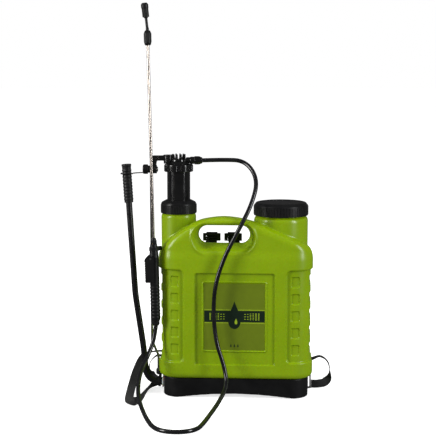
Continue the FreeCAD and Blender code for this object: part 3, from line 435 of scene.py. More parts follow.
def ink(name, colour, other):
    """Printed film: even colour with a slight mottle and fine scuffs."""
    paint = Paint(name, colour, 0.36)
    paint.base(paint.colours(paint.noise(60.0, 4.0), (0.3, colour), (0.75, other)))
    scuffs = paint.noise(1.0, 4.0, stretch=(900.0, 900.0, 60.0))
    paint.rough(scuffs, 0.06)
    paint.bump(scuffs, 0.04, 0.0001)
    return paint.material


MATERIALS = {
    "tank_green": green_plastic(),
    "label": ink("label", (0.115, 0.165, 0.002), (0.13, 0.185, 0.003)),
    "base_black": black_plastic("base_black", 0.005, 0.40, 0.25),
    "pump_black": black_plastic("pump_black", 0.004, 0.16, 0.03, coat=0.9),
    "cap_black": black_plastic("cap_black", 0.006, 0.33, 0.22),
    "natural_plastic": milky_plastic(),
    "grip_rubber": rubber("grip_rubber", 0.48, 0.03),
    "seal_rubber": rubber("seal_rubber", 0.6, 0.05),
    "hose_rubber": hose_pvc(),
    "lever_steel": painted_steel(),
    "zinc_steel": metal("zinc_steel", (0.42, 0.42, 0.41), 0.30, 0.08, 0.5),
    "stainless": metal("stainless", (0.50, 0.45, 0.41), 0.2, 0.01, 0.1),
    "brass": metal("brass", (0.72, 0.50, 0.20), 0.26, 0.08, 0.4),
    "valve_glass": glass_ball(),
    "webbing": woven("webbing", 0.009, 1.5, 1.9),
    "pad_fabric": pad_mesh(),
}
THREAD = thread()
INK_DARK = ink("ink_dark", (0.004, 0.014, 0.006), (0.007, 0.020, 0.009))
INK_LIME = ink("ink_lime", (0.30, 0.44, 0.012), (0.34, 0.48, 0.02))


def paint_frame():
    for part in frame["record"]["subparts"]:
        mesh = frame["nodes"][part["node"]].data
        mesh.materials.clear()
        mesh.materials.append(MATERIALS[part["material_slot"]])


# ---- meshes --------------------------------------------------------------------------------
def add(name, mesh, slot, body="root", material=None):
    mesh.materials.append(material or MATERIALS[slot])
    piece = bpy.data.objects.new(name, mesh)
    bpy.context.scene.collection.objects.link(piece)
    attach(piece, body)
    return piece


def smooth_max(a, b, k):
    near = np.maximum(k - np.abs(a - b), 0.0) / k
    return np.maximum(a, b) + near * near * k / 4.0


def smooth_min(a, b, k):
    return -smooth_max(-a, -b, k)


def carve(solid, space, k):
    return smooth_max(solid, -space, k)


def plate(x, y, half_x, half_y, corner):
    """Distance to a rectangle with round corners."""
    px = np.abs(x) - half_x + corner
    py = np.abs(y) - half_y + corner
    outside = np.hypot(np.maximum(px, 0.0), np.maximum(py, 0.0))
    return outside + np.minimum(np.maximum(px, py), 0.0) - corner


# Grid steps of the field meshes, in millimetres.
QUICK_STEP, TANK_STEP, BASE_STEP = 4.0, 2.2, 2.0


def slope_of(field, points):
    """Unit vectors along which the field grows fastest."""
    probe = 0.25
    slope = np.empty_like(points)
    for axis in range(3):
        shift = np.zeros(3)
        shift[axis] = probe
        slope[:, axis] = field(*(points + shift).T) - field(*(points - shift).T)
    return slope / np.maximum(np.linalg.norm(slope, axis=1, keepdims=True), 1e-9)


def field_mesh(name, field, low, high, step):
    """Mesh of a field's zero surface, with its corners moved onto it and its true normals."""
    axes = [np.arange(a - 2 * step, b + 3 * step, step, dtype=np.float32)
            for a, b in zip(low, high)]
    reach = 3.0 * step
    grid = openvdb.FloatGrid(reach)
    values = field(*np.meshgrid(*axes, indexing="ij"))
    grid.copyFromArray(np.clip(values, -reach, reach).astype(np.float32))
    points, quads = grid.convertToQuads(isovalue=0.0)
    points = points.astype(float) * step + np.array([axis[0] for axis in axes], float)
    for _ in range(3):
        slope = slope_of(field, points)
        points -= slope * np.clip(field(*points.T), -0.5 * step, 0.5 * step)[:, None]
    corners = points[quads[0]]
    facing = np.cross(corners[1] - corners[0], corners[2] - corners[0])
    if facing @ slope[quads[0][0]] < 0:
        quads = quads[:, ::-1]
    mesh = bpy.data.meshes.new(name)
    mesh.from_pydata((points * MM).tolist(), [], quads.tolist())
    mesh.shade_smooth()
    mesh.normals_split_custom_set_from_vertices(slope_of(field, points).tolist())
    return mesh


# ---- tank ----------------------------------------------------------------------------------
tank_low, tank_high = box_mm("tank")
TANK_HALF_W = tank_high[0]
TANK_HALF_D = tank_high[1]
SEAM_Z = tank_low[2]
THREAD_TOP = tank_high[2]
cap_low, cap_high = box_mm("filler_cap")
FILLER_X = (cap_low[0] + cap_high[0]) / 2
nut_low, nut_high = box_mm("collar_nut")
PUMP_X = (nut_low[0] + nut_high[0]) / 2
SKIN_CORNER = 51.5
ROOF_Z = 384.0
ARCH_Z = 469.0
WALL_BACK_Y = -34.0
WALL_INSET = 11.0           # the cavity's sides clear the deepest sunk panels
PLATE_INSET = 8.0           # and its floor and roof
PANEL_DEPTH = 3.5
LABEL_DEPTH = 2.5
HANDLE_X = -29.0
HOLE_Z = 422.0
HOLE_HALF_RUN = 43.0
HOLE_RADIUS = 22.5
HOLE_FLARE = 11.5           # how much the hand hole's radius grows at the front
HOLE_DROP = 6.0
HOLE_FLARE_Y = (-48.0, -88.5)
NECK_FOOT_Z = 360.0
THREAD_PITCH = 6.0
THREAD_HEIGHT = 1.3
PAD_PITCH = 44.0
PAD_FIRST_Z = 128.0
PAD_COUNT = 5
PAD_DEPTH = PANEL_DEPTH + 2.6
FLANK_X = 150.0

# Upright rectangles with round corners: x, z, half width, half height, corner radius.
SIDE_PANEL = (232.0, 215.0, 100.0, 119.0, 12.0)
MIDDLE_PANEL = (0.0, 208.0, 102.0, 118.0, 6.0)
LABEL_BEAD = (-1.0, 214.0, 80.5, 89.5, 4.0)
FRONT_PAD = (154.0, 0.0, 10.0, 13.0, 3.5)
FLANK_PAD = (0.0, 0.0, 57.0, 13.0, 4.0)

Neck = namedtuple("Neck", "middle radius top rounding thread_radius bore")
NECKS = (Neck(PUMP_X, 45.0, 470.0, 9.0, 41.0, 37.5),
         Neck(FILLER_X, 69.5, 466.0, 14.0, 61.5, 58.5))

# The slopes beside the handle's arch: which side falls, where it starts, its fall and rounding.
Slope = namedtuple("Slope", "side x z fall rounding")
SLOPES = (Slope(-1, -79.0, ARCH_Z, 0.44, 24.0), Slope(1, 21.0, ARCH_Z, 0.44, 24.0),
          Slope(-1, -113.0, 450.0, 0.72, 9.0))


def panel(x, z, sizes):
    """Distance to one of the upright rectangles."""
    middle_x, middle_z, half_x, half_z, corner = sizes
    return plate(x - middle_x, z - middle_z, half_x, half_z, corner)


def gable_field(x, z):
    """The handle's arch and the slopes that run down from it."""
    line = z - ARCH_Z
    for side, at_x, at_z, fall, rounding in SLOPES:
        slope = (z - at_z + fall * side * (x - at_x)) / math.hypot(1, fall)
        line = smooth_max(line, slope, rounding)
    return line


def hand_hole_field(x, y, z):
    """Long opening through the handle wall; it widens and drops towards the front."""
    start, end = HOLE_FLARE_Y
    front = np.clip((start - y) / (start - end), 0.0, 1.0)
    reach = np.maximum(np.abs(x - HANDLE_X) - HOLE_HALF_RUN + front, 0.0)
    return np.hypot(reach, z - HOLE_Z + HOLE_DROP * front) - HOLE_RADIUS - HOLE_FLARE * front


def neck_field(x, y, z, neck):
    """Round post with a threaded mouth above it."""
    out = np.hypot(x - neck.middle, y)
    post = smooth_max(out - neck.radius, z - neck.top, neck.rounding)
    turn = np.arctan2(y, x - neck.middle) / (2.0 * np.pi)
    ridge = np.clip(np.cos(2.0 * np.pi * (z / THREAD_PITCH - turn)), 0.0, 1.0) * THREAD_HEIGHT
    ridge = ridge * np.clip((THREAD_TOP - 3.0 - z) / 3.0, 0.0, 1.0)
    threaded = smooth_max(out - neck.thread_radius - ridge, z - THREAD_TOP, 1.5)
    return np.maximum(smooth_min(post, threaded, 2.5), NECK_FOOT_Z - z)


def tank_hollow(x, y, z, skin):
    room = smooth_max(skin + WALL_INSET, SEAM_Z + PLATE_INSET - z, 14.0)
    room = smooth_max(room, z - ROOF_Z + PLATE_INSET, 14.0)
    for neck in NECKS:
        bore = np.maximum(np.hypot(x - neck.middle, y) - neck.bore, NECK_FOOT_Z - z)
        room = smooth_min(room, bore, 4.0)
    return room


def sunk_pads(x, y, z):
    """Columns of small rectangles up the front's sides and wide ones up both flanks."""
    row = np.clip(np.round((z - PAD_FIRST_Z) / PAD_PITCH), 0, PAD_COUNT - 1)
    rise = z - PAD_FIRST_Z - PAD_PITCH * row
    front = np.maximum(panel(np.abs(x), rise, FRONT_PAD), y)
    flank = np.maximum(panel(y, rise, FLANK_PAD), FLANK_X - np.abs(x))
    return np.minimum(front, flank)


def hole_lip(x, y, z):
    """Height of the raised lip at the two ends of the hand hole's mouth."""
    mouth = hand_hole_field(x, np.full_like(y, -TANK_HALF_D), z)
    beside = np.clip((np.abs(x - HANDLE_X) - 45.0) / 25.0, 0.0, 1.0)
    facing = np.clip((-60.0 - y) / 15.0, 0.0, 1.0)
    return 2.6 * np.exp(-((mouth - 6.5) / 4.0) ** 2) * beside * facing


def tank_field(x, y, z):
    """Rounded body with a handle wall along its front, sunk panels, hand hole, necks and cavity."""
    skin = plate(x, y, TANK_HALF_W, TANK_HALF_D, SKIN_CORNER)
    wall = smooth_max(smooth_max(skin, gable_field(x, z), 20.0), y - WALL_BACK_Y, 14.0)
    roof = smooth_max(skin, z - ROOF_Z, 30.0)
    solid = smooth_min(wall, roof, 9.0)
    solid = smooth_max(solid, SEAM_Z - z, 16.0)

    side = panel(np.abs(x), z, SIDE_PANEL)
    solid = carve(solid, smooth_max(side, -skin - PANEL_DEPTH, 2.0), 4.0)
    middle = panel(x, z, MIDDLE_PANEL)
    solid = carve(solid, smooth_max(middle, -skin - LABEL_DEPTH, 1.5), 2.4)
    label_frame = np.abs(panel(x, z, LABEL_BEAD)) - 1.8
    bead = np.maximum(smooth_max(label_frame, skin + 0.5, 1.6), y)
    solid = smooth_min(solid, bead, 1.6)
    solid = carve(solid, smooth_max(sunk_pads(x, y, z), -skin - PAD_DEPTH, 1.2), 2.2)

    solid = carve(solid, hand_hole_field(x, y, z), 10.0)
    solid = solid - hole_lip(x, y, z)
    for neck in NECKS:
        solid = smooth_min(solid, neck_field(x, y, z, neck), 5.0)
    return np.maximum(solid, -tank_hollow(x, y, z, skin))


def make_tank():
    step = TANK_STEP
    mesh = field_mesh("tank_shell", tank_field, tank_low, tank_high, step)
    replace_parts(add("tank_shell", mesh, "tank_green"), "tank")


# ---- base ----------------------------------------------------------------------------------
base_low, base_high = box_mm("base_skirt")
shaft_low, shaft_high = box_mm("shaft_bushes")
SHAFT_Y = (shaft_low[1] + shaft_high[1]) / 2
SHAFT_Z = (shaft_low[2] + shaft_high[2]) / 2
BASE_CORNER = 46.0
BASE_WALL = 3.0
RIB_X, RIB_HALF_THICK = -64.0, 2.0
SHAFT_HOLE_RADIUS, SHAFT_HOLE_END_X = 12.0, -55.0
BOSS_X, BOSS_Y, BOSS_FOOT_Z = 120.0, 62.0, 14.0
BOSS_RADIUS, SCREW_RADIUS = 7.0, 2.6
ARCH_RISE, ARCH_HALF_WIDTH, ARCH_BACK_Y = 11.5, 152.0, -50.0


def base_field(x, y, z):
    """Open-bottomed tray with an arched front edge, screw bosses and the shaft's rib."""
    top = base_high[2]
    skin = plate(x, y, base_high[0], base_high[1], BASE_CORNER)
    solid = smooth_max(smooth_max(skin, -z, 5.0), z - top, 3.0)
    solid = carve(solid, smooth_max(skin + BASE_WALL, z - top + BASE_WALL, 5.0), 1.0)

    rib = plate(y - SHAFT_Y, z - 28.0, 26.0, 22.0, 4.0)
    solid = smooth_min(solid, np.maximum(np.abs(x - RIB_X) - RIB_HALF_THICK, rib), 2.5)
    column = np.abs(x) - BOSS_X * np.clip(np.round(np.abs(x) / BOSS_X), 0, 1)
    boss = np.hypot(column, np.abs(y) - BOSS_Y)
    post = np.maximum(np.maximum(boss - BOSS_RADIUS, BOSS_FOOT_Z - z), z - top + 1.0)
    solid = smooth_min(solid, post, 3.0)
    solid = np.maximum(solid, SCREW_RADIUS - boss)

    arch = z - ARCH_RISE * np.clip(1.0 - (x / ARCH_HALF_WIDTH) ** 2, 0.0, 1.0)
    solid = carve(solid, np.maximum(arch, y - ARCH_BACK_Y), 3.0)
    shaft = np.hypot(y - SHAFT_Y, z - SHAFT_Z) - SHAFT_HOLE_RADIUS
    return carve(solid, np.maximum(shaft, x - SHAFT_HOLE_END_X), 1.0)


def make_base():
    step = BASE_STEP
    mesh = field_mesh("base_tray", base_field, base_low, base_high, step)
    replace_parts(add("base_tray", mesh, "base_black"), "base_skirt")


# ---- label ---------------------------------------------------------------------------------
LABEL_MID = (-1.0, 214.0)
LABEL_HALF = (77.0, 86.0)
LABEL_Y = -TANK_HALF_D + LABEL_DEPTH
LABEL_FILM = 0.5
BAND_Z, BAND_HALF = 215.5, 14.5
RULE_RISE = 16.9
DROP_Z, DROP_SIZE = 219.0, 36.0


def rounded_outline(x, z, half_x, half_z, corner, steps=8):
    points = []
    for quarter, (sx, sz) in enumerate(((1, 1), (-1, 1), (-1, -1), (1, -1))):
        for i in range(steps + 1):
            angle = math.pi / 2 * (quarter + i / steps)
            points.append((x + sx * (half_x - corner) + corner * math.cos(angle),
                           z + sz * (half_z - corner) + corner * math.sin(angle)))
    return points


def drop_outline(x, z, size, steps=40):
    """Falling drop, point up; size is half its height."""
    points = []
    for i in range(steps):
        angle = 2.0 * math.pi * i / steps
        width = 0.62 * math.sin(angle) * math.sin(angle / 2.0) ** 1.5
        points.append((x + size * width, z + size * math.cos(angle)))
    return points


def print_layer(outlines, y0, y1, mesh_name):
    """Thin flat pieces between two planes across Y, from outlines in XZ (millimetres)."""
    shape = bmesh.new()
    for outline in outlines:
        verts = [shape.verts.new((a * MM, y1 * MM, b * MM)) for a, b in outline]
        face = shape.faces.new(verts)
        raised = bmesh.ops.extrude_face_region(shape, geom=[face])["geom"]
        moved = [item for item in raised if isinstance(item, bmesh.types.BMVert)]
        bmesh.ops.translate(shape, verts=moved, vec=(0.0, (y0 - y1) * MM, 0.0))
    bmesh.ops.recalc_face_normals(shape, faces=shape.faces)
    return finished(shape, mesh_name)


def spray_dots():
    """Fans of dots and dashes on the band, to both sides of the drop."""
    outlines = []
    for side in (-1, 1):
        for column in range(6):
            rows = 1 + column // 2
            for row in range(-rows, rows + 1):
                x = LABEL_MID[0] + side * (27.0 + 7.0 * column)
                z = 215.0 + row * 9.5 / (rows + 0.5)
                outlines.append(rounded_outline(x, z, 1.9, 0.8, 0.8, 3))
    return outlines


def make_label():
    """Printed film: a dark band and a drop, lime rules, spray and gleam, three small drops."""
    middle, half = LABEL_MID[0], LABEL_HALF[0]
    sheet = rounded_outline(*LABEL_MID, *LABEL_HALF, 2.0)
    film = print_layer([sheet], LABEL_Y - LABEL_FILM, LABEL_Y + 0.1, "label_film")
    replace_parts(add("label_film", film, "label"), "label_panel")
    band = rounded_outline(middle, BAND_Z, half, BAND_HALF, 0.5, 2)
    rules = [rounded_outline(middle, z, half, 0.7, 0.3, 2)
             for z in (BAND_Z - RULE_RISE, BAND_Z + RULE_RISE)]
    drop = drop_outline(middle, DROP_Z, DROP_SIZE)
    gleam = drop_outline(middle + 4.0, DROP_Z - 16.0, 8.0)
    feet = [drop_outline(middle + 9.0 * i, 140.0, 4.2) for i in (-1, 0, 1)]
    layers = (("label_rules", rules, INK_LIME, 0.55), ("label_band", [band], INK_DARK, 0.6),
              ("label_drop", [drop] + feet, INK_DARK, 0.65),
              ("label_spray", spray_dots(), INK_LIME, 0.7), ("label_gleam", [gleam], INK_LIME, 0.75))
    for name, outlines, colour, height in layers:
        add(name, print_layer(outlines, LABEL_Y - height, LABEL_Y - 0.45, name), "label",
            material=colour)


# ---- hose ----------------------------------------------------------------------------------
HOSE_DIAMETER = 0.011
HOSE_ROUTE = [
    (-0.088, 0.0, 0.607), (-0.038, 0.0, 0.609), (0.024, -0.012, 0.608), (0.057, -0.048, 0.562),
    (0.042, -0.082, 0.502), (0.010, -0.104, 0.440), (-0.026, -0.107, 0.372),
    (-0.050, -0.108, 0.298), (-0.054, -0.106, 0.222), (-0.046, -0.108, 0.150),
    (-0.027, -0.115, 0.098), (-0.016, -0.134, 0.048), (-0.035, -0.196, 0.019),
    (-0.052, -0.268, 0.008), (-0.062, -0.330, 0.006), (-0.073, -0.387, 0.006),
    (-0.104, -0.412, 0.006), (-0.144, -0.412, 0.006), (-0.175, -0.387, 0.006),
    (-0.195, -0.335, 0.007), (-0.213, -0.280, 0.014), (-0.229, -0.240, 0.034),
    (-0.237, -0.194, 0.058), (-0.235, -0.143, 0.084), (-0.222, -0.102, 0.112),
    (-0.207, -0.081, 0.152), (-0.2029, -0.080, 0.1872),
]


def spline_object(name, points, thickness):
    data = bpy.data.curves.new(name, "CURVE")
    data.dimensions = "3D"
    data.resolution_u = 10
    data.bevel_depth = thickness / 2
    data.bevel_resolution = 6
    data.use_fill_caps = thickness > 0
    spline = data.splines.new("NURBS")
    spline.points.add(len(points) - 1)
    for point, place in zip(spline.points, points):
        point.co = (*place, 1.0)
    spline.order_u = 3
    spline.use_endpoint_u = True
    made = bpy.data.objects.new(name, data)
    bpy.context.scene.collection.objects.link(made)
    bpy.context.view_layer.update()
    return made


def spline_mesh(name, points, thickness):
    """Tube along the points' spline, or with no thickness its line."""
    curve = spline_object(name + "_line", points, thickness)
    mesh = bpy.data.meshes.new_from_object(curve)
    bpy.data.objects.remove(curve)
    mesh.name = name
    return mesh


def add_tube(name, points, thickness, slot):
    tube = spline_mesh(name, points, thickness)
    tube.shade_smooth()
    tube.materials.clear()
    piece = add(name, tube, slot)
    piece.parent = None
    return piece


def make_hose():
    line = spline_mesh("hose_centre", HOSE_ROUTE, 0.0)
    bpy.data.meshes.remove(line)
    hose = add_tube("hose_tube", HOSE_ROUTE, HOSE_DIAMETER, "hose_rubber")
    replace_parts(hose, "hose")
    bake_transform(hose)


# ---- trigger spring ------------------------------------------------------------------------
SPRING_WIRE = 0.0008
SPRING_TURNS = 4
TURN_POINTS = 12


def make_spring():
    """Wound return spring between the handle and the stem's button.

    Half a turn at each end lies flat.
    """
    low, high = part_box("trigger_spring")
    radius = (high[2] - low[2]) / 2 - SPRING_WIRE
    middle_y, middle_z = (low[1] + high[1]) / 2, (low[2] + high[2]) / 2
    count = SPRING_TURNS * TURN_POINTS
    points = []
    for i in range(count + 1):
        angle = 2.0 * math.pi * i / TURN_POINTS
        share = min(max((i - TURN_POINTS / 2) / (count - TURN_POINTS), 0.0), 1.0)
        points.append((low[0] + SPRING_WIRE / 2 + (high[0] - low[0] - SPRING_WIRE) * share,
                       middle_y + radius * math.cos(angle), middle_z + radius * math.sin(angle)))
    spring = add_tube("trigger_coil", points, SPRING_WIRE, "zinc_steel")
    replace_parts(spring, "trigger_spring")
    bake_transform(spring)


# ---- webbing -------------------------------------------------------------------------------
WEB_WIDTH = 0.022
WEB_THICK = 0.0018


def between(values, count):
    """Smooth interpolation (Catmull-Rom) of a list of vectors."""
    values = [Vector(v) for v in values]
    ends = [values[0] * 2 - values[1]] + values + [values[-1] * 2 - values[-2]]
    made = []
    for i in range(len(values) - 1):
        a, b, c, d = ends[i:i + 4]
        for j in range(count):
            t = j / count
            made.append(0.5 * ((2 * b) + (c - a) * t + (2 * a - 5 * b + 4 * c - d) * t ** 2
                               + (3 * b - a - 3 * c + d) * t ** 3))
    return made + [values[-1]]


def strip_mesh(name, stations, width, thick, count=10):
    """Flat webbing through stations, each (centre, direction of its width), in metres."""
    centres = between([s[0] for s in stations], count)
    widths = between([s[1] for s in stations], count)
    half, edge = width / 2, thick / 2
    upper = [(half, edge * 0.4), (half - edge, edge), (half * 0.5, edge * 0.9), (0.0, edge * 0.85),
             (-half * 0.5, edge * 0.9), (-half + edge, edge), (-half, edge * 0.4)]
    profile = [(-a, -b) for a, b in upper] + upper
    shape = bmesh.new()
    lay = shape.loops.layers.uv.new("weave")
    rings, lengths = [], [0.0]
    for i, (centre, across) in enumerate(zip(centres, widths)):
        along = centres[min(i + 1, len(centres) - 1)] - centres[max(i - 1, 0)]
        along.normalize()
        across = (across - along * across.dot(along)).normalized()
        out = across.cross(along)
        rings.append([shape.verts.new(centre + across * a + out * b) for a, b in profile])
        if i:
            lengths.append(lengths[-1] + (centre - centres[i - 1]).length)
    count = len(profile)
    for i in range(len(rings) - 1):
        for j in range(count):
            k = (j + 1) % count
            face = shape.faces.new((rings[i][j], rings[i][k], rings[i + 1][k], rings[i + 1][j]))
            face.smooth = True
            for loop, (u, v) in zip(face.loops, ((i, j), (i, k), (i + 1, k), (i + 1, j))):
                loop[lay].uv = (lengths[u], profile[v][0])
    shape.faces.new(rings[0])
    shape.faces.new(list(reversed(rings[-1])))
    bmesh.ops.recalc_face_normals(shape, faces=shape.faces)
    return finished(shape, name)


# Webbing from the buckles to the base's hooks, in millimetres: (centre), (direction of its width).
RIGHT_TAIL = [
    ((29, 102.5, 134), (0.99, 0, 0.16)), ((30, 106.6, 128), (0.99, 0, 0.16)),
    ((32, 106.4, 117.5), (0.99, 0, 0.16)),
    ((44, 106, 98), (0.93, 0, 0.35)), ((84, 106, 66), (0.5, 0, 0.87)),
    ((150, 104, 52), (0, 0.2, 1)), ((195, 90, 66), (-0.1, 0.95, 0.2)),
    ((221, 80, 76), (0, 1, 0)), ((241, 70, 64), (0, 1, 0)), ((246, 60, 39), (0, 0.9, 0.4)),
    ((236, 46, 17), (0, 0.45, 0.9)), ((216, 36, 13), (0, 0, 1)), ((196.5, 33.5, 13), (0, 0, 1)),
]
LEFT_TAIL = [
    ((-112, 102.5, 134), (-0.99, 0, 0.16)), ((-113, 106.6, 128), (-0.99, 0, 0.16)),
    ((-115, 106.4, 117.5), (-0.99, 0, 0.16)),
    ((-119, 106, 98), (-0.93, 0, 0.35)), ((-138, 106, 68), (-0.5, 0, 0.87)),
    ((-168, 102, 60), (-0.1, 0.4, 0.9)), ((-196, 92, 68), (0.05, 0.97, 0.1)),
    ((-218, 84, 71), (0, 1, 0)), ((-234, 74, 57), (0, 1, 0)), ((-236, 62, 37), (0, 0.8, 0.5)),
    ((-224, 46, 21), (0, 0.4, 0.9)), ((-208, 37, 15), (0, 0, 1)), ((-196.5, 33.5, 14), (0, 0, 1)),
]
LEFT_SLACK = [
    ((-197, 26.5, 21), (0, 0, 1)), ((-212, 21, 15), (0.2, 0, 1)),
    ((-224, 2, 11.8), (0.35, 0, 0.94)), ((-229, -45, 11.8), (0.35, 0, 0.94)),
    ((-233, -105, 12.2), (0.1, 0, 1)), ((-238, -150, 12.2), (0, 0, 1)),
    ((-246, -165, 12), (0.45, 0.1, 0.85)), ((-259, -160, 9), (0.9, 0.2, 0.35)),
    ((-267, -132, 7), (1, 0.1, 0.1)), ((-271, -80, 9), (1, 0, 0)), ((-271, -25, 22), (1, 0, 0)),
    ((-267, 25, 43), (0.98, 0.1, 0.1)), ((-256, 66, 66), (0.75, 0.6, 0.2)),
    ((-236, 92, 78), (0.25, 0.95, 0)), ((-205, 101, 81), (0, 1, 0)),
    ((-165, 104, 79), (0, 0.9, 0.4)),
]


def make_tails():
    for name, stations in (("tail_web_right", RIGHT_TAIL), ("tail_web_left", LEFT_TAIL),
                           ("tail_slack_left", LEFT_SLACK)):
        metres = [(Vector(centre) * MM, across) for centre, across in stations]
        piece = add(name, strip_mesh(name, metres, WEB_WIDTH, WEB_THICK), "webbing")
        if "web" in name:
            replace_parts(piece, name.replace("tail_web", "strap_tail"))


# ---- shoulder straps -----------------------------------------------------------------------
PAD_LINE = [(0.1005, 0.366), (0.124, 0.334), (0.1415, 0.298), (0.1465, 0.266), (0.1415, 0.234),
            (0.124, 0.197), (0.1005, 0.162)]
PAD_WIDTH = 0.050
PAD_THICK = 0.0085
CLOTH_VOXEL = 0.0042
CLOTH_FRAMES = 20
CLOTH_PRESSURE = 4.0
SWELL_LIMIT = 0.0022
SEAM_X = 0.0185             # the long seams, each side of the pad's middle
SEAM_WIDTH = 0.0016
SEAM_PULL, ROW_PULL = 0.42, 0.40
ROW_COUNT = 6
FOOT_WEB = [((0.0, 0.1036, 0.176), (1, 0, 0)), ((0.0, 0.1062, 0.160), (1, 0, 0)),
            ((0.0, 0.1068, 0.150), (1, 0, 0)), ((0.0, 0.1040, 0.1434), (1, 0, 0))]
STRAPS = {"left": (-0.070, 9.0), "right": (-0.013, -9.0)}


def splay(side):
    """From the strap's own frame to its place: it turns about the clip, then moves to it."""
    x, turn = STRAPS[side]
    pivot = Matrix.Translation((0.0, 0.0, 0.4))
    turned = pivot @ Matrix.Rotation(math.radians(turn), 4, "Y") @ pivot.inverted()
    return Matrix.Translation((x, 0.0, 0.0)) @ turned


def pad_frame():
    """Points, tangents and outward normals along the pad's middle line."""
    points = between([(0.0, y, z) for y, z in PAD_LINE], 12)
    frames = []
    for i, point in enumerate(points):
        along = (points[min(i + 1, len(points) - 1)] - points[max(i - 1, 0)]).normalized()
        frames.append((point, along, Vector((1.0, 0.0, 0.0)).cross(along) * -1.0))
    return frames


def joined_rings(shape, rings):
    """Closed tube of quads through rings of vertices."""
    count = len(rings[0])
    for first, second in zip(rings, rings[1:]):
        for j in range(count):
            k = (j + 1) % count
            shape.faces.new((first[j], first[k], second[k], second[j]))
    shape.faces.new(rings[0])
    shape.faces.new(list(reversed(rings[-1])))


def pad_blank():
    """Plain strip with round ends, a little smaller than the finished pad."""
    frames = pad_frame()
    count = 20
    shape = bmesh.new()
    rings = []
    for i, (point, along, out) in enumerate(frames):
        share = i / (len(frames) - 1)
        end = min(share, 1.0 - share) / 0.08
        narrow = math.sqrt(max(1.0 - (1.0 - min(end, 1.0)) ** 2, 0.06))
        ring = []
        for j in range(count):
            angle = 2.0 * math.pi * j / count
            across = math.copysign(abs(math.cos(angle)) ** 0.45, math.cos(angle))
            rise = math.copysign(abs(math.sin(angle)) ** 0.8, math.sin(angle))
            ring.append(shape.verts.new(point + Vector((across * narrow * PAD_WIDTH / 2, 0.0, 0.0))
                                        + out * rise * PAD_THICK / 2 * (0.6 + 0.4 * narrow)))
        rings.append(ring)
    joined_rings(shape, rings)
    bmesh.ops.recalc_face_normals(shape, faces=shape.faces)
    return finished(shape, "pad_blank")


def applied(piece):
    """The piece's mesh with its modifiers worked in."""
    depsgraph = bpy.context.evaluated_depsgraph_get()
    depsgraph.update()
    return bpy.data.meshes.new_from_object(piece.evaluated_get(depsgraph))


def swollen(blank):
    """Cloth filled from inside; no point goes further than the limit."""
    piece = bpy.data.objects.new("pad_simulation", blank)
    bpy.context.scene.collection.objects.link(piece)
    remesh = piece.modifiers.new("even", "REMESH")
    remesh.mode = "VOXEL"
    remesh.voxel_size = CLOTH_VOXEL
    piece.data = applied(piece)
    piece.modifiers.clear()
    start = np.array([v.co for v in piece.data.vertices])
    cloth = piece.modifiers.new("cloth", "CLOTH")
    cloth.settings.use_pressure = True
    cloth.settings.uniform_pressure_force = CLOTH_PRESSURE
    cloth.settings.effector_weights.gravity = 0.0
    cloth.settings.quality = 6
    scene = bpy.context.scene
    for number in range(1, CLOTH_FRAMES + 1):
        scene.frame_set(number)
        bpy.context.view_layer.update()
    made = applied(piece)
    scene.frame_set(1)
    end = np.array([v.co for v in made.vertices])
    move = end - start
    length = np.maximum(np.linalg.norm(move, axis=1, keepdims=True), 1e-9)
    end = start + move / length * np.minimum(length, SWELL_LIMIT)
    made.vertices.foreach_set("co", end.ravel())
    bpy.data.objects.remove(piece)
    return made


def subdivided(mesh, levels):
    piece = bpy.data.objects.new("subdivision", mesh)
    bpy.context.scene.collection.objects.link(piece)
    rounder = piece.modifiers.new("round", "SUBSURF")
    rounder.levels = levels
    rounder.render_levels = levels
    made = applied(piece)
    bpy.data.objects.remove(piece)
    return made


def quilt(mesh):
    """Sewn channels: two lines along the pad and five across pull the cover in."""
    frames = pad_frame()
    centres = np.array([f[0] for f in frames])
    outs = np.array([f[2] for f in frames])
    spots = np.array([v.co for v in mesh.vertices])
    nearest = np.argmin(((spots[:, None, 1:] - centres[None, :, 1:]) ** 2).sum(2), axis=1)
    share = nearest / (len(frames) - 1)
    lift = ((spots - centres[nearest]) * outs[nearest]).sum(1)
    edges = np.exp(-((np.abs(spots[:, 0]) - SEAM_X) / SEAM_WIDTH) ** 2)
    rows = np.exp(-((np.abs((share * ROW_COUNT + 0.5) % 1.0 - 0.5)) / 0.035) ** 2)
    inside = (np.abs(spots[:, 0]) < SEAM_X) & (share > 0.06) & (share < 0.94)
    pull = np.maximum(SEAM_PULL * edges, ROW_PULL * rows * inside)
    spots -= outs[nearest] * (lift * pull)[:, None]
    mesh.vertices.foreach_set("co", spots.ravel())
    mesh.shade_smooth()


STITCH_SPACING, STITCH_LENGTH, STITCH_RADIUS = 0.0032, 0.0022, 0.0005
STITCH_ENDS = ((-0.5, 0.25), (-0.25, 0.9), (0.25, 0.9), (0.5, 0.25))
STITCH_ANGLES = (0.0, 1.05, 2.09, 3.14, 4.19, 5.24)


def stitch_mesh(name, runs):
    """Rows of small raised thread stitches; each run is a list of (point, outward)."""
    shape = bmesh.new()
    for run in runs:
        carried = 0.0
        for (a, out_a), (b, out_b) in zip(run, run[1:]):
            step = b - a
            travel = step.length
            way = step.normalized() if travel > 0 else Vector((0, 0, 1))
            while carried < travel:
                here = a + way * carried
                out = out_a.lerp(out_b, carried / travel).normalized()
                side = way.cross(out).normalized()
                rings = []
                for t, r in STITCH_ENDS:
                    middle = here + way * (t * STITCH_LENGTH)
                    radius = STITCH_RADIUS * r
                    rings.append([shape.verts.new(middle + side * (radius * math.cos(q))
                                                  + out * (radius * math.sin(q)))
                                  for q in STITCH_ANGLES])
                joined_rings(shape, rings)
                carried += STITCH_SPACING
            carried -= travel
    bmesh.ops.recalc_face_normals(shape, faces=shape.faces)
    for face in shape.faces:
        face.smooth = True
    return finished(shape, name)


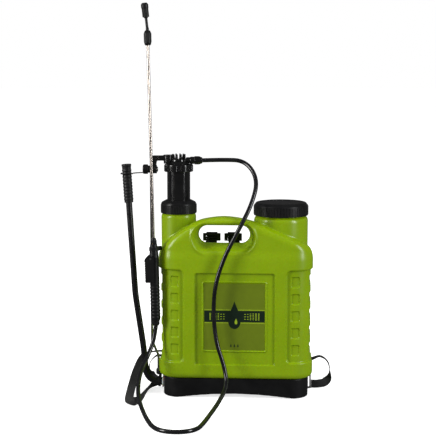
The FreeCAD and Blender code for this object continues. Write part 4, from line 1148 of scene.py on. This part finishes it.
def pad_rim():
    """The pad's outline: (point, way out of its edge, outward), along a side and round an end, twice."""
    frames = pad_frame()
    inner = frames[3:-3]
    rail = []
    for side, run, end, tip in ((1, inner, frames[-4], frames[-1]),
                                (-1, inner[::-1], frames[3], frames[0])):
        for point, _, out in run:
            rail.append((point + Vector((side * (PAD_WIDTH / 2 + 0.0004), 0, 0)),
                         Vector((side, 0, 0)), out))
        along, out = tip[1:]
        for i in range(1, 8):
            angle = math.pi * i / 8 + (0.0 if side > 0 else math.pi)
            way = Vector((math.cos(angle), 0, 0)) + along * math.sin(angle) * 0.42
            rail.append((end[0] + Vector((math.cos(angle) * PAD_WIDTH / 2, 0, 0))
                         + along * math.sin(angle) * 0.0125, way.normalized(), out))
    return rail


def pad_binding():
    """Tape folded round the pad's edge: a closed strip along its outline."""
    rail = pad_rim()
    shape = bmesh.new()
    lay = shape.loops.layers.uv.new("weave")
    profile = [(-0.0055, 0.0030), (-0.003, 0.0040), (0.0005, 0.0036), (0.0018, 0.0014),
               (0.0018, -0.0014), (0.0005, -0.0036), (-0.003, -0.0040), (-0.0055, -0.0030)]
    rings = [[shape.verts.new(spot + way * a + out * b) for a, b in profile]
             for spot, way, out in rail]
    count = len(profile)
    travel = 0.0
    for i in range(len(rings)):
        following = (i + 1) % len(rings)
        step = (rail[following][0] - rail[i][0]).length
        for j in range(count - 1):
            face = shape.faces.new((rings[i][j], rings[i][j + 1], rings[following][j + 1],
                                    rings[following][j]))
            face.smooth = True
            spots = ((travel, j), (travel, j + 1), (travel + step, j + 1), (travel + step, j))
            for loop, (u, v) in zip(face.loops, spots):
                loop[lay].uv = (u, v * 0.0016)
        travel += step
    bmesh.ops.recalc_face_normals(shape, faces=shape.faces)
    return finished(shape, "pad_binding")


def make_pads():
    blank = pad_blank()
    body = subdivided(swollen(blank), 1)
    quilt(body)
    frames = pad_frame()
    face = [(f[0] + f[2] * 0.0062, (1.0, 0.0, 0.0)) for f in frames[4:-4:8]]
    strip = strip_mesh("pad_face_web", face, 0.025, 0.0016, 6)
    foot = strip_mesh("pad_foot_web", FOOT_WEB, 0.0245, WEB_THICK, 6)
    binding = pad_binding()
    edge_run = [[(f[0] + f[2] * 0.0072 + Vector((x, 0, 0)), f[2]) for f in frames[5:-5]]
                for x in (-0.0108, 0.0108)]
    rim_run = [[(f[0] + f[2] * 0.0046 + Vector((x, 0, 0)), f[2]) for f in frames[4:-4]]
               for x in (-0.0212, 0.0212)]
    seams = stitch_mesh("pad_seams", edge_run + rim_run)
    for side in STRAPS:
        place = splay(side)
        cover = body.copy()
        cover.transform(place)
        cover.materials.clear()
        piece = add("pad_cover_" + side, cover, "pad_fabric")
        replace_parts(piece, "shoulder_pad_" + side)
        for name, mesh, slot, material in (("pad_web_", strip, "webbing", None),
                                           ("pad_foot_web_", foot, "webbing", None),
                                           ("pad_tape_", binding, "webbing", None),
                                           ("pad_stitches_", seams, "webbing", THREAD)):
            part = mesh.copy()
            part.transform(place)
            add(name + side, part, slot, material=material)


def make_top_webs():
    """Webbing looped through the clip and sewn to the pad's top."""
    for side, (x, turn) in STRAPS.items():
        pad_top = splay(side) @ Vector((0.0, 0.1065, 0.366))
        web = [((x, 0.0962, 0.4075), (1, 0, 0)), ((x, 0.0988, 0.403), (1, 0, 0)),
               ((x, 0.1005, 0.391), (1, 0, 0)),
               (tuple(pad_top), (math.cos(math.radians(turn)), 0, -math.sin(math.radians(turn))))]
        mesh = strip_mesh("top_strip_" + side, web, 0.0298, WEB_THICK)
        piece = add("top_strip_" + side, mesh, "webbing")
        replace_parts(piece, "top_web_" + side)


# ---- build ---------------------------------------------------------------------------------
make_studio()
paint_frame()
make_hose()
make_spring()
make_tank()
make_base()
make_label()
make_tails()
make_pads()
make_top_webs()
